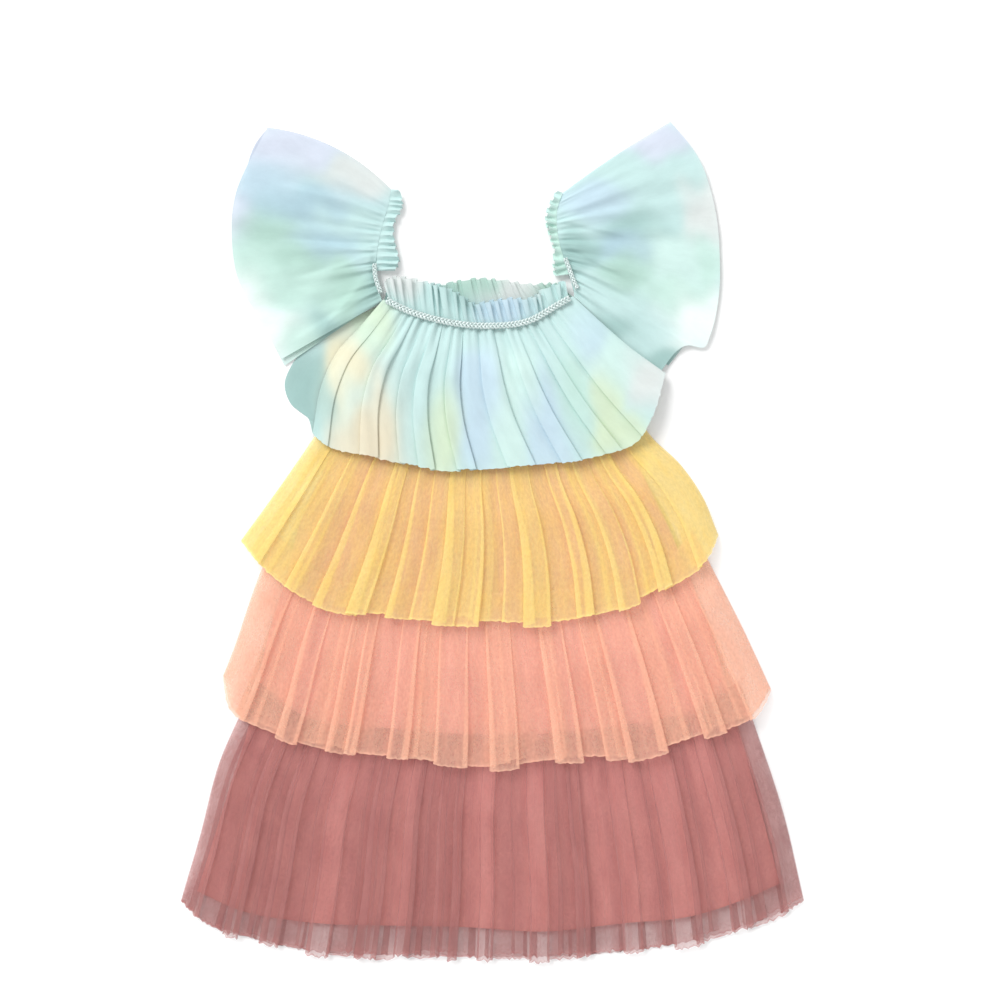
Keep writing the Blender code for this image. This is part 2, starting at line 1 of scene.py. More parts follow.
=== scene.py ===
"""A child's tiered princess dress of dyed voile and tulle, laid out flat and seen from above.

Sizes are in millimetres unless a name says otherwise. X runs to the right across the dress, Y up
it towards the neck, and Z up from the surface that it lies on. Every piece of cloth is a surface
worked out on a grid of columns across the cloth and rows down it.
"""

from __future__ import annotations

import logging
from dataclasses import dataclass, field
from enum import Enum
from typing import NamedTuple

import bpy
import numpy as np
from mathutils import Matrix
from numpy.typing import NDArray


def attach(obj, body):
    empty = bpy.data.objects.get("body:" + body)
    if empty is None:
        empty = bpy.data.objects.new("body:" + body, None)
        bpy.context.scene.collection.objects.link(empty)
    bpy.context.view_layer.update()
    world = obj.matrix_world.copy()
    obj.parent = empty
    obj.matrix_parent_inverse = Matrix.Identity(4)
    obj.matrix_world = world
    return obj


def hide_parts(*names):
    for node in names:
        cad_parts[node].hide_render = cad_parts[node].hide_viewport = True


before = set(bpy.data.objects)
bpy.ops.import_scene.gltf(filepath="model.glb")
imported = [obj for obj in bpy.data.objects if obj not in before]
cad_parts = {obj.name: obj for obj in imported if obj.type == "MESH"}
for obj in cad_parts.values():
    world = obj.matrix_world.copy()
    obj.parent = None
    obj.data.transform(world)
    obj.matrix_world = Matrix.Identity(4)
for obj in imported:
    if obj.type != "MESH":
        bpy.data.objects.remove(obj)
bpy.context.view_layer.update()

log = logging.getLogger("dress")

Array = NDArray[np.float64]
Points = tuple[tuple[float, float], ...]

MM = 0.001
OUTLINE_TO_ORIGIN = (0.0, -1.6, 0.0)

# Heights of the stack, from the surface up
BACK_ON_FLOOR = 0.6
BACK_OVER_BACK = 2.3
LINING_BACK = 3.9
LINING_FRONT = 5.4
LINING_FOOT_DROP = 1.9
FOLD_RISE = 2.0
LAST_HEM = 3.0
LAST_HEM_SPREAD = 1.4

# How far in from its side a front has its full height
SIDE_ROUND = 28.0

# Where heights change, past an edge or in from a side: where the change starts, and its length
FOLDS_RISE = (-10.0, 50.0)
FOLDS_FROM_SIDE = (4.0, 40.0)
LINING_FOOT = (-60.0, 60.0)
LINING_LIFTS = (-17.0, 10.0)
BACK_SETTLES = (6.0, 20.0)
LOFT_RISES = (9.0, 40.0)
FOOT_SETTLES = (-8.0, 32.0)

# The same as shares: of the top tier's fall, of a crease, and of a sleeve's width and its fall
TOP_LOFT_RISES = (0.0, 0.4)
CREASE_STARTS = (-0.12, 0.24)
CREASE_ENDS = (0.55, 0.5)
SLEEVE_BOWS = (0.55, 0.45)
SLEEVE_SOFTENS = (0.0, 0.4)
SLEEVE_RISES = (0.0, 0.05)


def linear(code: str) -> tuple[float, float, float, float]:
    """Turns an sRGB hex colour to linear light, for a shader's colour socket.

    Args:
        code: The colour, as #RRGGBB.

    Returns:
        Linear red, green and blue, and an alpha of 1.
    """
    shares = np.array([int(code[i : i + 2], 16) for i in (1, 3, 5)]) / 255
    light = np.where(shares <= 0.04045, shares / 12.92, ((shares + 0.055) / 1.055) ** 2.4)
    return (*light.tolist(), 1.0)


def smooth(share: Array | float) -> Array:
    """A share from 0 to 1 with a soft start and end: 3s² - 2s³."""
    share = np.clip(share, 0.0, 1.0)
    return share * share * (3.0 - 2.0 * share)


def eased(value: Array, span: tuple[float, float]) -> Array:
    """A share that rises softly from 0 to 1 over a span, given as its start and its length."""
    return smooth((value - span[0]) / span[1])


def curve(points: Points, at: Array) -> Array:
    """Reads a smooth curve through points: cubic spans, with slopes from the neighbouring spans.

    Args:
        points: The points that the curve passes, in plan.
        at: Shares of its length, of any shape.

    Returns:
        The plan points, with the shape of `at` and a last axis of 2.
    """
    path = np.array(points, float)
    knots = np.concatenate([[0.0], np.cumsum(np.linalg.norm(np.diff(path, axis=0), axis=1))])
    knots /= knots[-1]
    spans = np.diff(knots)[:, None]
    slopes = np.diff(path, axis=0) / spans
    inner = (spans[1:] * slopes[:-1] + spans[:-1] * slopes[1:]) / (spans[1:] + spans[:-1])
    tangents = np.concatenate([slopes[:1], inner, slopes[-1:]])
    shares = np.clip(at, 0.0, 1.0)
    low = np.clip(np.searchsorted(knots, shares, side="right") - 1, 0, len(spans) - 1)
    span = spans[low]
    part = (shares - knots[low])[..., None] / span
    return (
        (1 + 2 * part) * (1 - part) ** 2 * path[low]
        + part * (1 - part) ** 2 * span * tangents[low]
        + part**2 * (3 - 2 * part) * path[low + 1]
        + part**2 * (part - 1) * span * tangents[low + 1]
    )


def patch(top: Points, bottom: Points, left: Points, right: Points, across: Array,
          down: Array) -> Array:
    """Fills a panel in from its four edges: the sum of the two ruled surfaces between opposite
    edges, less the bilinear surface of its corners.

    Args:
        top: The edge at row share 0, from left to right.
        bottom: The edge at row share 1, from left to right.
        left: The edge at column share 0, from the top down.
        right: The edge at column share 1, from the top down.
        across: Column shares, rows by columns.
        down: Row shares, rows by columns.

    Returns:
        The plan points, rows by columns by 2.
    """
    row, column = down[..., None], across[..., None]
    ends = np.array([0.0, 1.0])
    upper_ends, lower_ends = curve(top, ends), curve(bottom, ends)
    corners = (1 - row) * ((1 - column) * upper_ends[0] + column * upper_ends[1]) + row * (
        (1 - column) * lower_ends[0] + column * lower_ends[1]
    )
    return (
        (1 - row) * curve(top, across)
        + row * curve(bottom, across)
        + (1 - column) * curve(left, down)
        + column * curve(right, down)
        - corners
    )


def share_at_x(edge: Points, x: Array) -> Array:
    """The shares of an edge's length at which it passes each x."""
    shares = np.linspace(0.0, 1.0, 600)
    return np.interp(x, curve(edge, shares)[:, 0], shares)


def length_of(edge: Points) -> float:
    """The length of the smooth curve through an edge's points."""
    return float(np.linalg.norm(np.diff(curve(edge, np.linspace(0, 1, 200)), axis=0), axis=1).sum())


def past_edge(edge: Points, plan: Array) -> Array:
    """How far plan points lie below an edge that runs from left to right, or beside it.

    Args:
        edge: The edge's points.
        plan: Plan points, with a last axis of 2.

    Returns:
        Distances, less than 0 above the edge.
    """
    line = curve(edge, np.linspace(0.0, 1.0, 400))
    beside = np.abs(plan[..., 0] - np.clip(plan[..., 0], line[0, 0], line[-1, 0]))
    below = np.interp(plan[..., 0], line[:, 0], line[:, 1]) - plan[..., 1]
    return np.where(beside > 0, np.maximum(below, 0) + beside, below)


def from_sides(across: Array, plan: Array) -> Array:
    """The distance of each point from the nearer side of its panel, along its row."""
    width = np.ptp(plan[..., 0], axis=1)[:, None]
    return np.minimum(across, 1 - across) * width


def rounded(distance: Array, radius: float) -> Array:
    """A quarter of an ellipse: 0 at the edge, and 1 from `radius` inwards."""
    return np.sqrt(1 - (1 - np.clip(distance / radius, 0, 1)) ** 2)


def ripple(seed: int, along: Array, down: Array, lengths: tuple[float, ...],
           slant: float = 0.25) -> Array:
    """Soft uneven waves: a sum of sines across the cloth, each of its own length, phase and slant.

    Args:
        seed: Seeds the phases and slants.
        along: Distance across the cloth.
        down: Distance down the cloth.
        lengths: The wavelengths.
        slant: How far a wave may lean from the line of fall.

    Returns:
        Heights of about -1 to 1, with the shape of `along`.
    """
    random = np.random.default_rng(seed)
    total = np.zeros(np.broadcast(along, down).shape)
    for wavelength in lengths:
        lean, phase, swell = random.uniform(-slant, slant), *random.uniform(0, 2 * np.pi, 2)
        strength = 0.6 + 0.4 * np.sin(2 * np.pi * along / (wavelength * 4.3) + swell)
        total += strength * np.sin(2 * np.pi * (along + lean * down) / wavelength + phase)
    return total / len(lengths) ** 0.5


def soften(values: Array, times: int) -> Array:
    """Rounds corners along the columns, by averages of neighbours that keep both ends."""
    for _ in range(times):
        inside = 0.25 * values[:, :-2] + 0.5 * values[:, 1:-1] + 0.25 * values[:, 2:]
        values = np.concatenate([values[:, :1], inside, values[:, -1:]], axis=1)
    return values


class Crease(NamedTuple):
    """A crease: its ends, how far it rises, and how wide its two sides are."""

    x0: float
    y0: float
    x1: float
    y1: float
    rise: float
    gentle: float
    steep: float


def creased(creases: tuple[Crease, ...], plan: Array) -> Array:
    """The relief of creases: across each one a bell with one gentle and one steep side, and along
    it a soft start and end.

    Args:
        creases: The creases, whose gentle side lies to the left of the way they run.
        plan: Plan points, with a last axis of 2.

    Returns:
        Heights, with the shape of the points.
    """
    total = np.zeros(plan.shape[:-1])
    for made in creases:
        start, end = np.array([made.x0, made.y0]), np.array([made.x1, made.y1])
        run = (end - start) / np.linalg.norm(end - start)
        away = plan - start
        along = (away @ run) / np.linalg.norm(end - start)
        aside = away @ np.array([-run[1], run[0]])
        width = np.where(aside > 0, made.gentle, made.steep)
        held = eased(along, CREASE_STARTS) * (1 - eased(along, CREASE_ENDS))
        total += made.rise * np.exp(-((aside / width) ** 2)) * held
    return total


class Dye(Enum):
    """The dyes of the voile, as sRGB colours of one layer. The deep teal and sage also stand for
    painted shade, in patches by the sleeves' gathered edges.
    """

    AQUA = "#C4E2E0"
    LIGHT = "#D0ECE6"
    ICE = "#C2DAE8"
    BLUE = "#AECCD8"
    MINT = "#C3E4D9"
    SAGE = "#AFD2C5"
    TEAL_DYE_AND_SHADE = "#9DC0BC"
    CREAM = "#EBE4C4"
    SAND = "#E8DCC0"
    LEAF = "#D3E5C6"
    LILAC = "#D6DCEC"
    PEARL = "#DDE2E0"
    FOAM = "#F1FBF8"


class Bloom(NamedTuple):
    """A soft patch of dye (teal and sage ones by a sleeve's gather are painted shade as well): its
    middle, how far it reaches across and down, and its colour.
    """

    x: float
    y: float
    across: float
    down: float
    dye: Dye


def dyed(blooms: tuple[Bloom, ...], ground: Dye, plan: Array) -> Array:
    """Blends patches of dye into a ground colour, with the teal and sage patches by the sleeves'
    gathers as painted shade: each point takes the mean of the dyes near it, weighed by a bell
    round each patch.

    Args:
        blooms: The patches.
        ground: The colour between them.
        plan: Plan points, with a last axis of 2.

    Returns:
        Linear colours with an alpha of 1, with the shape of the points and a last axis of 4.
    """
    weight = np.full(plan.shape[:-1], 0.07)
    colour = np.array(linear(ground.value)) * weight[..., None]
    wander = 5.0 * ripple(71, plan[..., 0], plan[..., 1], (61.0, 37.0), slant=1.5)
    for bloom in blooms:
        far = ((plan[..., 0] - bloom.x + wander) / bloom.across) ** 2
        far = far + ((plan[..., 1] - bloom.y - wander) / bloom.down) ** 2
        near = np.exp(-far)
        colour = colour + near[..., None] * np.array(linear(bloom.dye.value))
        weight = weight + near
    return colour / weight[..., None]


def sheet_mesh(name: str, points: Array, colours: Array | None = None,
               cover: Array | None = None) -> bpy.types.Object:
    """Makes a grid of points a smooth sheet, with a UV map of its cloth in metres.

    Args:
        name: The piece's name.
        points: Rows by columns by 3, in millimetres.
        colours: Linear colours for the sheet's dye attribute, rows by columns by 4.
        cover: Shares of its net's own cover, rows by columns.

    Returns:
        The new object, at the origin.
    """
    rows, columns = points.shape[:2]
    index = np.arange(rows * columns).reshape(rows, columns)
    faces = np.stack([index[:-1, :-1], index[1:, :-1], index[1:, 1:], index[:-1, 1:]], axis=2)
    faces = faces.reshape(-1, 4)
    mesh = bpy.data.meshes.new(name)
    mesh.vertices.add(rows * columns)
    placed = (points + np.array(OUTLINE_TO_ORIGIN)) * MM
    mesh.vertices.foreach_set("co", placed.astype(np.float32).ravel())
    mesh.loops.add(faces.size)
    mesh.loops.foreach_set("vertex_index", faces.astype(np.int32).ravel())
    mesh.polygons.add(len(faces))
    mesh.polygons.foreach_set("loop_start", np.arange(0, faces.size, 4, dtype=np.int32))
    mesh.update(calc_edges=True)
    across = np.linalg.norm(np.diff(points, axis=1), axis=2)
    across = np.cumsum(np.pad(across, ((0, 0), (1, 0))), axis=1)[-1]
    down = np.linalg.norm(np.diff(points, axis=0), axis=2)
    down = np.cumsum(np.pad(down, ((1, 0), (0, 0))), axis=0)
    cloth = np.stack([np.broadcast_to(across, down.shape), down], axis=2).reshape(-1, 2) * MM
    layer = mesh.uv_layers.new(name="cloth")
    layer.data.foreach_set("uv", cloth[faces.ravel()].astype(np.float32).ravel())
    if colours is not None:
        dye = mesh.color_attributes.new(name="dye", type="FLOAT_COLOR", domain="POINT")
        dye.data.foreach_set("color", colours.astype(np.float32).ravel())
    if cover is not None:
        share = mesh.attributes.new(name="cover", type="FLOAT", domain="POINT")
        share.data.foreach_set("value", cover.astype(np.float32).ravel())
    mesh.shade_smooth()
    mesh.validate()
    piece = bpy.data.objects.new(name, mesh)
    bpy.context.scene.collection.objects.link(piece)
    return piece


class Link(NamedTuple):
    """A place in a material's tree: a node and the name or number of its output."""

    node: bpy.types.Node
    output: str | int


def add_node(tree: bpy.types.NodeTree, kind: str, settings: dict | None = None,
             links: dict | None = None, **options: object) -> bpy.types.Node:
    """Adds one shader node with its settings and its links.

    Args:
        tree: The material's tree.
        kind: The node's Blender type.
        settings: Input sockets and their values.
        links: Input sockets and the outputs that feed them.
        options: The node's own properties.

    Returns:
        The node.
    """
    node = tree.nodes.new(kind)
    for name, value in options.items():
        setattr(node, name, value)
    for socket, value in (settings or {}).items():
        node.inputs[socket].default_value = value
    for socket, source in (links or {}).items():
        tree.links.new(source.node.outputs[source.output], node.inputs[socket])
    return node


def start_material(name: str) -> tuple[bpy.types.Material, bpy.types.Node]:
    """An empty material of that name and its Principled shader."""
    material = bpy.data.materials.new(name)
    material.use_nodes = True
    return material, material.node_tree.nodes["Principled BSDF"]


def cloth_pattern(tree: bpy.types.NodeTree, across: float, down: float, detail: float) -> Link:
    """Uneven cloth, as noise on the piece's cloth map.

    Args:
        tree: The material's tree.
        across: The size of a patch across the cloth, in mm.
        down: The size of a patch down the cloth, in mm.
        detail: How many finer octaves it has.

    Returns:
        The noise's value, about 0.5 on average.
    """
    cloth = add_node(tree, "ShaderNodeUVMap", uv_map="cloth")
    scale = (1 / (across * MM), 1 / (down * MM), 1.0)
    placed = add_node(tree, "ShaderNodeMapping", {"Scale": scale}, {"Vector": Link(cloth, "UV")})
    noise = add_node(
        tree, "ShaderNodeTexNoise", {"Scale": 1.0, "Detail": detail, "Roughness": 0.6},
        {"Vector": Link(placed, "Vector")}, noise_dimensions="2D",
    )
    return Link(noise, "Fac")


def spread(tree: bpy.types.NodeTree, source: Link, low: float, high: float,
           from_low: float = 0.3, from_high: float = 0.7) -> Link:
    """Spreads a pattern's values evenly over a new range."""
    made = add_node(
        tree, "ShaderNodeMapRange",
        {"From Min": from_low, "From Max": from_high, "To Min": low, "To Max": high},
        {"Value": source},
    )
    return Link(made, "Result")


def blend(tree: bpy.types.NodeTree, source: Link, low: tuple[float, str],
          high: tuple[float, str]) -> Link:
    """Adds a blend of two sRGB colours between two values of a pattern."""
    node = add_node(tree, "ShaderNodeValToRGB", None, {"Fac": source})
    for element, (position, colour) in zip(node.color_ramp.elements, (low, high)):
        element.position, element.color = position, linear(colour)
    return Link(node, "Color")


@dataclass(frozen=True)
class Tulle:
    """Nylon tulle: a fine hexagonal net, knitted and heat-set. Each ply hides only part of what
    lies under it, so folds show as deeper bands of its own colour."""

    name: str
    thread: str
    shade: str
    mark: str
    cover: float

    def material(self) -> bpy.types.Material:
        """The net: its cover varies in small cells, drawn at 3 mm for its 0.8 mm holes, and in
        soft blots, and fine crumpled lines mark it here and there."""
        material, shader = start_material(self.name)
        tree = material.node_tree
        blots = cloth_pattern(tree, 14.0, 34.0, 2.0)
        cells = cloth_pattern(tree, 3.0, 4.2, 3.0)
        ply = add_node(tree, "ShaderNodeAttribute", attribute_name="cover")
        net = self.calculate(
            tree, "ADD", spread(tree, blots, self.cover - 0.06, self.cover + 0.06),
            spread(tree, cells, -0.05, 0.05),
        )
        cover = self.calculate(tree, "MULTIPLY", net, Link(ply, "Fac"))
        marks = self.crumples(tree)
        worn = self.calculate(tree, "ADD", cover, self.calculate(tree, "MULTIPLY", marks, 0.16))
        worn.node.use_clamp = True
        tint = blend(tree, blots, (0.3, self.thread), (0.72, self.shade))
        marked = add_node(
            tree, "ShaderNodeMixRGB", {"Color2": linear(self.mark)},
            {"Fac": marks, "Color1": tint},
        )
        bump = add_node(
            tree, "ShaderNodeBump", {"Strength": 0.2, "Distance": 0.6 * MM},
            {"Height": cloth_pattern(tree, 7.0, 16.0, 3.0)},
        )
        tree.links.new(marked.outputs["Color"], shader.inputs["Base Color"])
        tree.links.new(worn.node.outputs["Value"], shader.inputs["Alpha"])
        tree.links.new(bump.outputs["Normal"], shader.inputs["Normal"])
        shader.inputs["Roughness"].default_value = 0.85
        shader.inputs["Specular IOR Level"].default_value = 0.15
        shader.inputs["Sheen Weight"].default_value = 0.1
        return material

    def crumples(self, tree: bpy.types.NodeTree) -> Link:
        """Thin wandering lines, where a pattern passes its middle value, in some places alone."""
        worm = cloth_pattern(tree, 6.0, 13.0, 4.0)
        away = self.calculate(tree, "SUBTRACT", worm, 0.5)
        near = self.calculate(tree, "ABSOLUTE", away, 0.0)
        line = spread(tree, near, 1.0, 0.0, 0.0, 0.022)
        place = spread(tree, cloth_pattern(tree, 31.0, 60.0, 1.0), 0.0, 0.55, 0.5, 0.66)
        return self.calculate(tree, "MULTIPLY", line, place)

    @staticmethod
    def calculate(tree: bpy.types.NodeTree, operation: str, first: Link,
                  second: Link | float) -> Link:
        """Adds a math node of two values, the second of which may be a number."""
        node = add_node(tree, "ShaderNodeMath", None, {0: first}, operation=operation)
        if isinstance(second, Link):
            tree.links.new(second.node.outputs[second.output], node.inputs[1])
        else:
            node.inputs[1].default_value = second
        return Link(node, "Value")


@dataclass(frozen=True)
class Voile:
    """Crinkled polyester voile, tie-dyed: sheer and matt, and its dye, with painted shade by the
    sleeves' gathers, is the piece's attribute.
    """

    name: str = "dyed_crinkle_voile"
    cover: float = 0.93

    def material(self) -> bpy.types.Material:
        """The voile: dye mottled by its crinkle, which also lifts its surface."""
        material, shader = start_material(self.name)
        tree = material.node_tree
        dye = add_node(tree, "ShaderNodeVertexColor", layer_name="dye")
        crinkle = cloth_pattern(tree, 3.0, 12.0, 3.0)
        mottle = spread(tree, cloth_pattern(tree, 14.0, 22.0, 3.0), 0.92, 0.985)
        toned = add_node(
            tree, "ShaderNodeVectorMath", None, {0: Link(dye, "Color"), "Scale": mottle},
            operation="SCALE",
        )
        bump = add_node(
            tree, "ShaderNodeBump", {"Strength": 0.16, "Distance": 0.5 * MM},
            {"Height": crinkle},
        )
        tree.links.new(toned.outputs["Vector"], shader.inputs["Base Color"])
        tree.links.new(bump.outputs["Normal"], shader.inputs["Normal"])
        shader.inputs["Alpha"].default_value = self.cover
        shader.inputs["Roughness"].default_value = 0.8
        shader.inputs["Specular IOR Level"].default_value = 0.25
        shader.inputs["Sheen Weight"].default_value = 0.2
        return material


@dataclass(frozen=True)
class Satin:
    """Polyester lining satin: a smooth weave of long floats, with a soft low shine."""

    name: str = "rose_lining_satin"
    face: str = "#E39A92"
    deep: str = "#D4857E"

    def material(self) -> bpy.types.Material:
        """The satin: faint slubs across it, and a weave drawn at 1.4 mm for its 0.2 mm threads."""
        material, shader = start_material(self.name)
        tree = material.node_tree
        slubs = cloth_pattern(tree, 16.0, 60.0, 2.0)
        tint = blend(tree, slubs, (0.3, self.face), (0.7, self.deep))
        bump = add_node(
            tree, "ShaderNodeBump", {"Strength": 0.12, "Distance": 0.2 * MM},
            {"Height": cloth_pattern(tree, 1.4, 5.0, 1.0)},
        )
        tree.links.new(tint.node.outputs["Color"], shader.inputs["Base Color"])
        tree.links.new(bump.outputs["Normal"], shader.inputs["Normal"])
        shader.inputs["Roughness"].default_value = 0.42
        shader.inputs["Sheen Weight"].default_value = 0.3
        return material


@dataclass(frozen=True)
class MetallicBraid:
    """Lurex braid: flat metallised film wound on a pale core, so it glints in short flecks."""

    name: str = "silver_lurex_braid"
    film: str = "#DFEAE9"
    core: str = "#B6C9C6"

    def material(self) -> bpy.types.Material:
        """The braid: flecks of film on its core, at the 1.2 mm of one winding."""
        material, shader = start_material(self.name)
        tree = material.node_tree
        place = add_node(tree, "ShaderNodeTexCoord")
        flecks = add_node(
            tree, "ShaderNodeTexNoise", {"Scale": 1 / (1.2 * MM), "Detail": 2.0},
            {"Vector": Link(place, "Object")},
        )
        tint = blend(tree, Link(flecks, "Fac"), (0.38, self.core), (0.62, self.film))
        bump = add_node(
            tree, "ShaderNodeBump", {"Strength": 0.5, "Distance": 0.3 * MM},
            {"Height": Link(flecks, "Fac")},
        )
        tree.links.new(tint.node.outputs["Color"], shader.inputs["Base Color"])
        tree.links.new(bump.outputs["Normal"], shader.inputs["Normal"])
        shader.inputs["Metallic"].default_value = 0.2
        shader.inputs["Roughness"].default_value = 0.38
        return material


@dataclass(frozen=True)
class Cut:
    """The flat piece that a sheet is cut from, its area if it isn't a rectangle (in square
    metres), and how it is held."""

    width: float
    length: float
    held: str = "gathered"
    area: float | None = None


def dress_up(piece: bpy.types.Object, finish: bpy.types.Material,
             stands_for: tuple[str, ...] = ()) -> None:
    """Gives a sheet its finish, its body and the solids that it stands for.

    Args:
        piece: The sheet.
        finish: Its material.
        stands_for: The solids that it replaces.
    """
    piece.data.materials.append(finish)
    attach(piece, "root")
    if stands_for:
        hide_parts(*stands_for)
    log.info("%s: %d faces", piece.name, len(piece.data.polygons))


# The satin lining
LINING_LEFT = ((-94, 213), (-116, 173), (-129, 129), (-142, 88), (-172, 21), (-187, -35),
               (-203, -89), (-215, -150), (-241, -235), (-265, -312))
LINING_RIGHT = ((68, 217), (92, 173), (112, 129), (124, 88), (158, 15), (180, -37), (199, -89),
                (216, -148), (237, -225), (258, -305))
LINING_NECK_FRONT = ((-94, 213), (-79, 208), (-47, 198), (-4, 193), (34, 198), (57, 210),
                     (68, 217))
LINING_NECK_BACK = ((-94, 213), (-50, 208), (-4, 207), (34, 210), (68, 217))
LINING_HEM = ((-265, -312), (-227, -329), (-173, -339), (-83, -343), (-29, -344), (50, -348),
              (115, -341), (180, -334), (224, -320), (258, -305))
PEACH_HEM = ((-242, -118), (-234, -148), (-196, -169), (-133, -187), (-70, -193), (0, -199),
             (52, -193), (122, -191), (187, -172), (236, -152), (250, -130))


def inside_lining(plan: Array) -> Array:
    """How far plan points lie inside the lining, and less than 0 outside it."""
    shares = np.linspace(0.0, 1.0, 400)
    left, right = curve(LINING_LEFT, shares), curve(LINING_RIGHT, shares)
    from_left = plan[..., 0] - np.interp(-plan[..., 1], -left[:, 1], left[:, 0])
    from_right = np.interp(-plan[..., 1], -right[:, 1], right[:, 0]) - plan[..., 0]
    return np.minimum(np.minimum(from_left, from_right), -past_edge(LINING_HEM, plan))


def folded_lining(plan: Array) -> Array:
    """How far the lining's folds have risen: not at all above the last tier, fully below it."""
    rise = eased(past_edge(PEACH_HEM, plan), FOLDS_RISE)
    return rise * eased(inside_lining(plan), FOLDS_FROM_SIDE)


@dataclass
class Lining:
    """The satin lining: two panels from the neck to just above the last tier's hem. Its folds
    drift by a share of one fold, and its fine ripple runs over its mean width and length."""

    finish: Satin = field(default_factory=Satin)
    folds: int = 9
    fold_height: float = FOLD_RISE
    drift: float = 0.03
    sharpness: float = 0.8
    fine_height: float = 0.25
    width: float = 500.0
    length: float = 540.0
    rows: int = 70
    columns: int = 181
    cut: Cut = Cut(530.0, 560.0, "laid", 0.204)

    def build(self) -> None:
        """Builds the back panel and the front panel on it."""
        finish = self.finish.material()
        back = self.panel("satin_lining_back", LINING_NECK_BACK, LINING_BACK, 0.0)
        dress_up(back, finish, ("lining_back",))
        front = self.panel("satin_lining_front", LINING_NECK_FRONT, LINING_FRONT, self.fold_height)
        dress_up(front, finish, ("lining_front",))

    def panel(self, name: str, neck: Points, level: float, fold_height: float) -> bpy.types.Object:
        """A panel: flat, with raised cosine folds that open towards the hem and a fine ripple.

        Args:
            name: The piece's name.
            neck: Its top edge.
            level: Its height where it is flat.
            fold_height: How far its folds rise.

        Returns:
            The sheet.
        """
        down, across = np.meshgrid(
            np.linspace(0, 1, self.rows), np.linspace(0, 1, self.columns), indexing="ij"
        )
        plan = patch(neck, LINING_HEM, LINING_LEFT, LINING_RIGHT, across, down)
        along, fallen = across * self.width, down * self.length
        phase = self.folds * across + self.drift * ripple(5, along, fallen, (90.0, 140.0))
        wave = (0.5 - 0.5 * np.cos(2 * np.pi * phase)) ** self.sharpness
        z = level + fold_height * folded_lining(plan) * wave
        fine = ripple(11, along, fallen, (33.0, 51.0, 74.0))
        z = z + self.fine_height * folded_lining(plan) * fine * (fold_height > 0)
        let_down = eased(past_edge(LINING_HEM, plan), LINING_FOOT) * (fold_height == 0)
        z = z - LINING_FOOT_DROP * let_down
        return sheet_mesh(name, np.dstack([plan, z]))


class Fold(NamedTuple):
    """Where a pleat's edge meets the hem, which side lies on top (1 the left, -1 the right), how
    much lower the cloth to the right of it hangs, and how far its layers lap at the hem."""

    x: float
    top: int
    drop: float
    lap: float


@dataclass(frozen=True)
class Ply:
    """One layer of a tier: its heights, its cover, and whether its pleats lie between the tier's
    own, with a hem that hangs lower by `hem`."""

    name: str
    covered: float
    loft: float
    at_side: float
    fold_height: float
    clear: float
    cover: float = 1.0
    between: bool = False
    hem: float = 0.0


OUTER = Ply("outer", covered=9.9, loft=17.6, at_side=1.7, fold_height=2.3, clear=2.0)
INNER = Ply("inner", covered=8.3, loft=13.2, at_side=0.9, fold_height=1.2, clear=0.9,
            cover=0.85, between=True, hem=-3.0)
VOILE = Ply("outer", covered=9.9, loft=17.2, at_side=1.7, fold_height=1.5, clear=2.0)

# How far the inner ply's pleats and the back's stray, lap and drop, and how the back's are spaced
INNER_STRAYS = 3.0
INNER_LAPS = (3.0, 9.0)
INNER_DROPS = 2.0
BACK_STRAYS = 5.0
BACK_LAPS = (4.0, 11.0)
BACK_MARGIN = 14.0
BACK_PITCH = 24.0
PRESSED_PLEAT = 0.3

# How a pleat opens down its fall, as shares of its lap, and its greatest share of a face
LAP_AT_SEAM = 0.3
LAP_OPENS = 0.7
LAP_CURVE = 0.7
MOST_LAP = 0.85

# How far a pleat's turn reaches into its faces, in columns, and how a face swells between turns
TURN_COLUMNS = 1.3
CROWN = 0.3

# Shares of the pleats' height under the tier above and past it, and of the soft ripples'
PLEAT_COVERED = 0.27
PLEAT_SHOWN = 0.73
SOFT_COVERED = 0.25
MEAN_FALL = 190.0

# How the inner ply thins where it is drawn aside, and how tulle is denser at its cut edge
ASIDE_BLURS = (-2.0, 4.0)
ASIDE_THINS = 0.85
CUT_EDGE_WIDTH = 1.4
CUT_EDGE_COVER = 0.7


@dataclass
class Outline:
    """A panel's four edges in plan."""

    seam: Points
    hem: Points
    left: Points
    right: Points


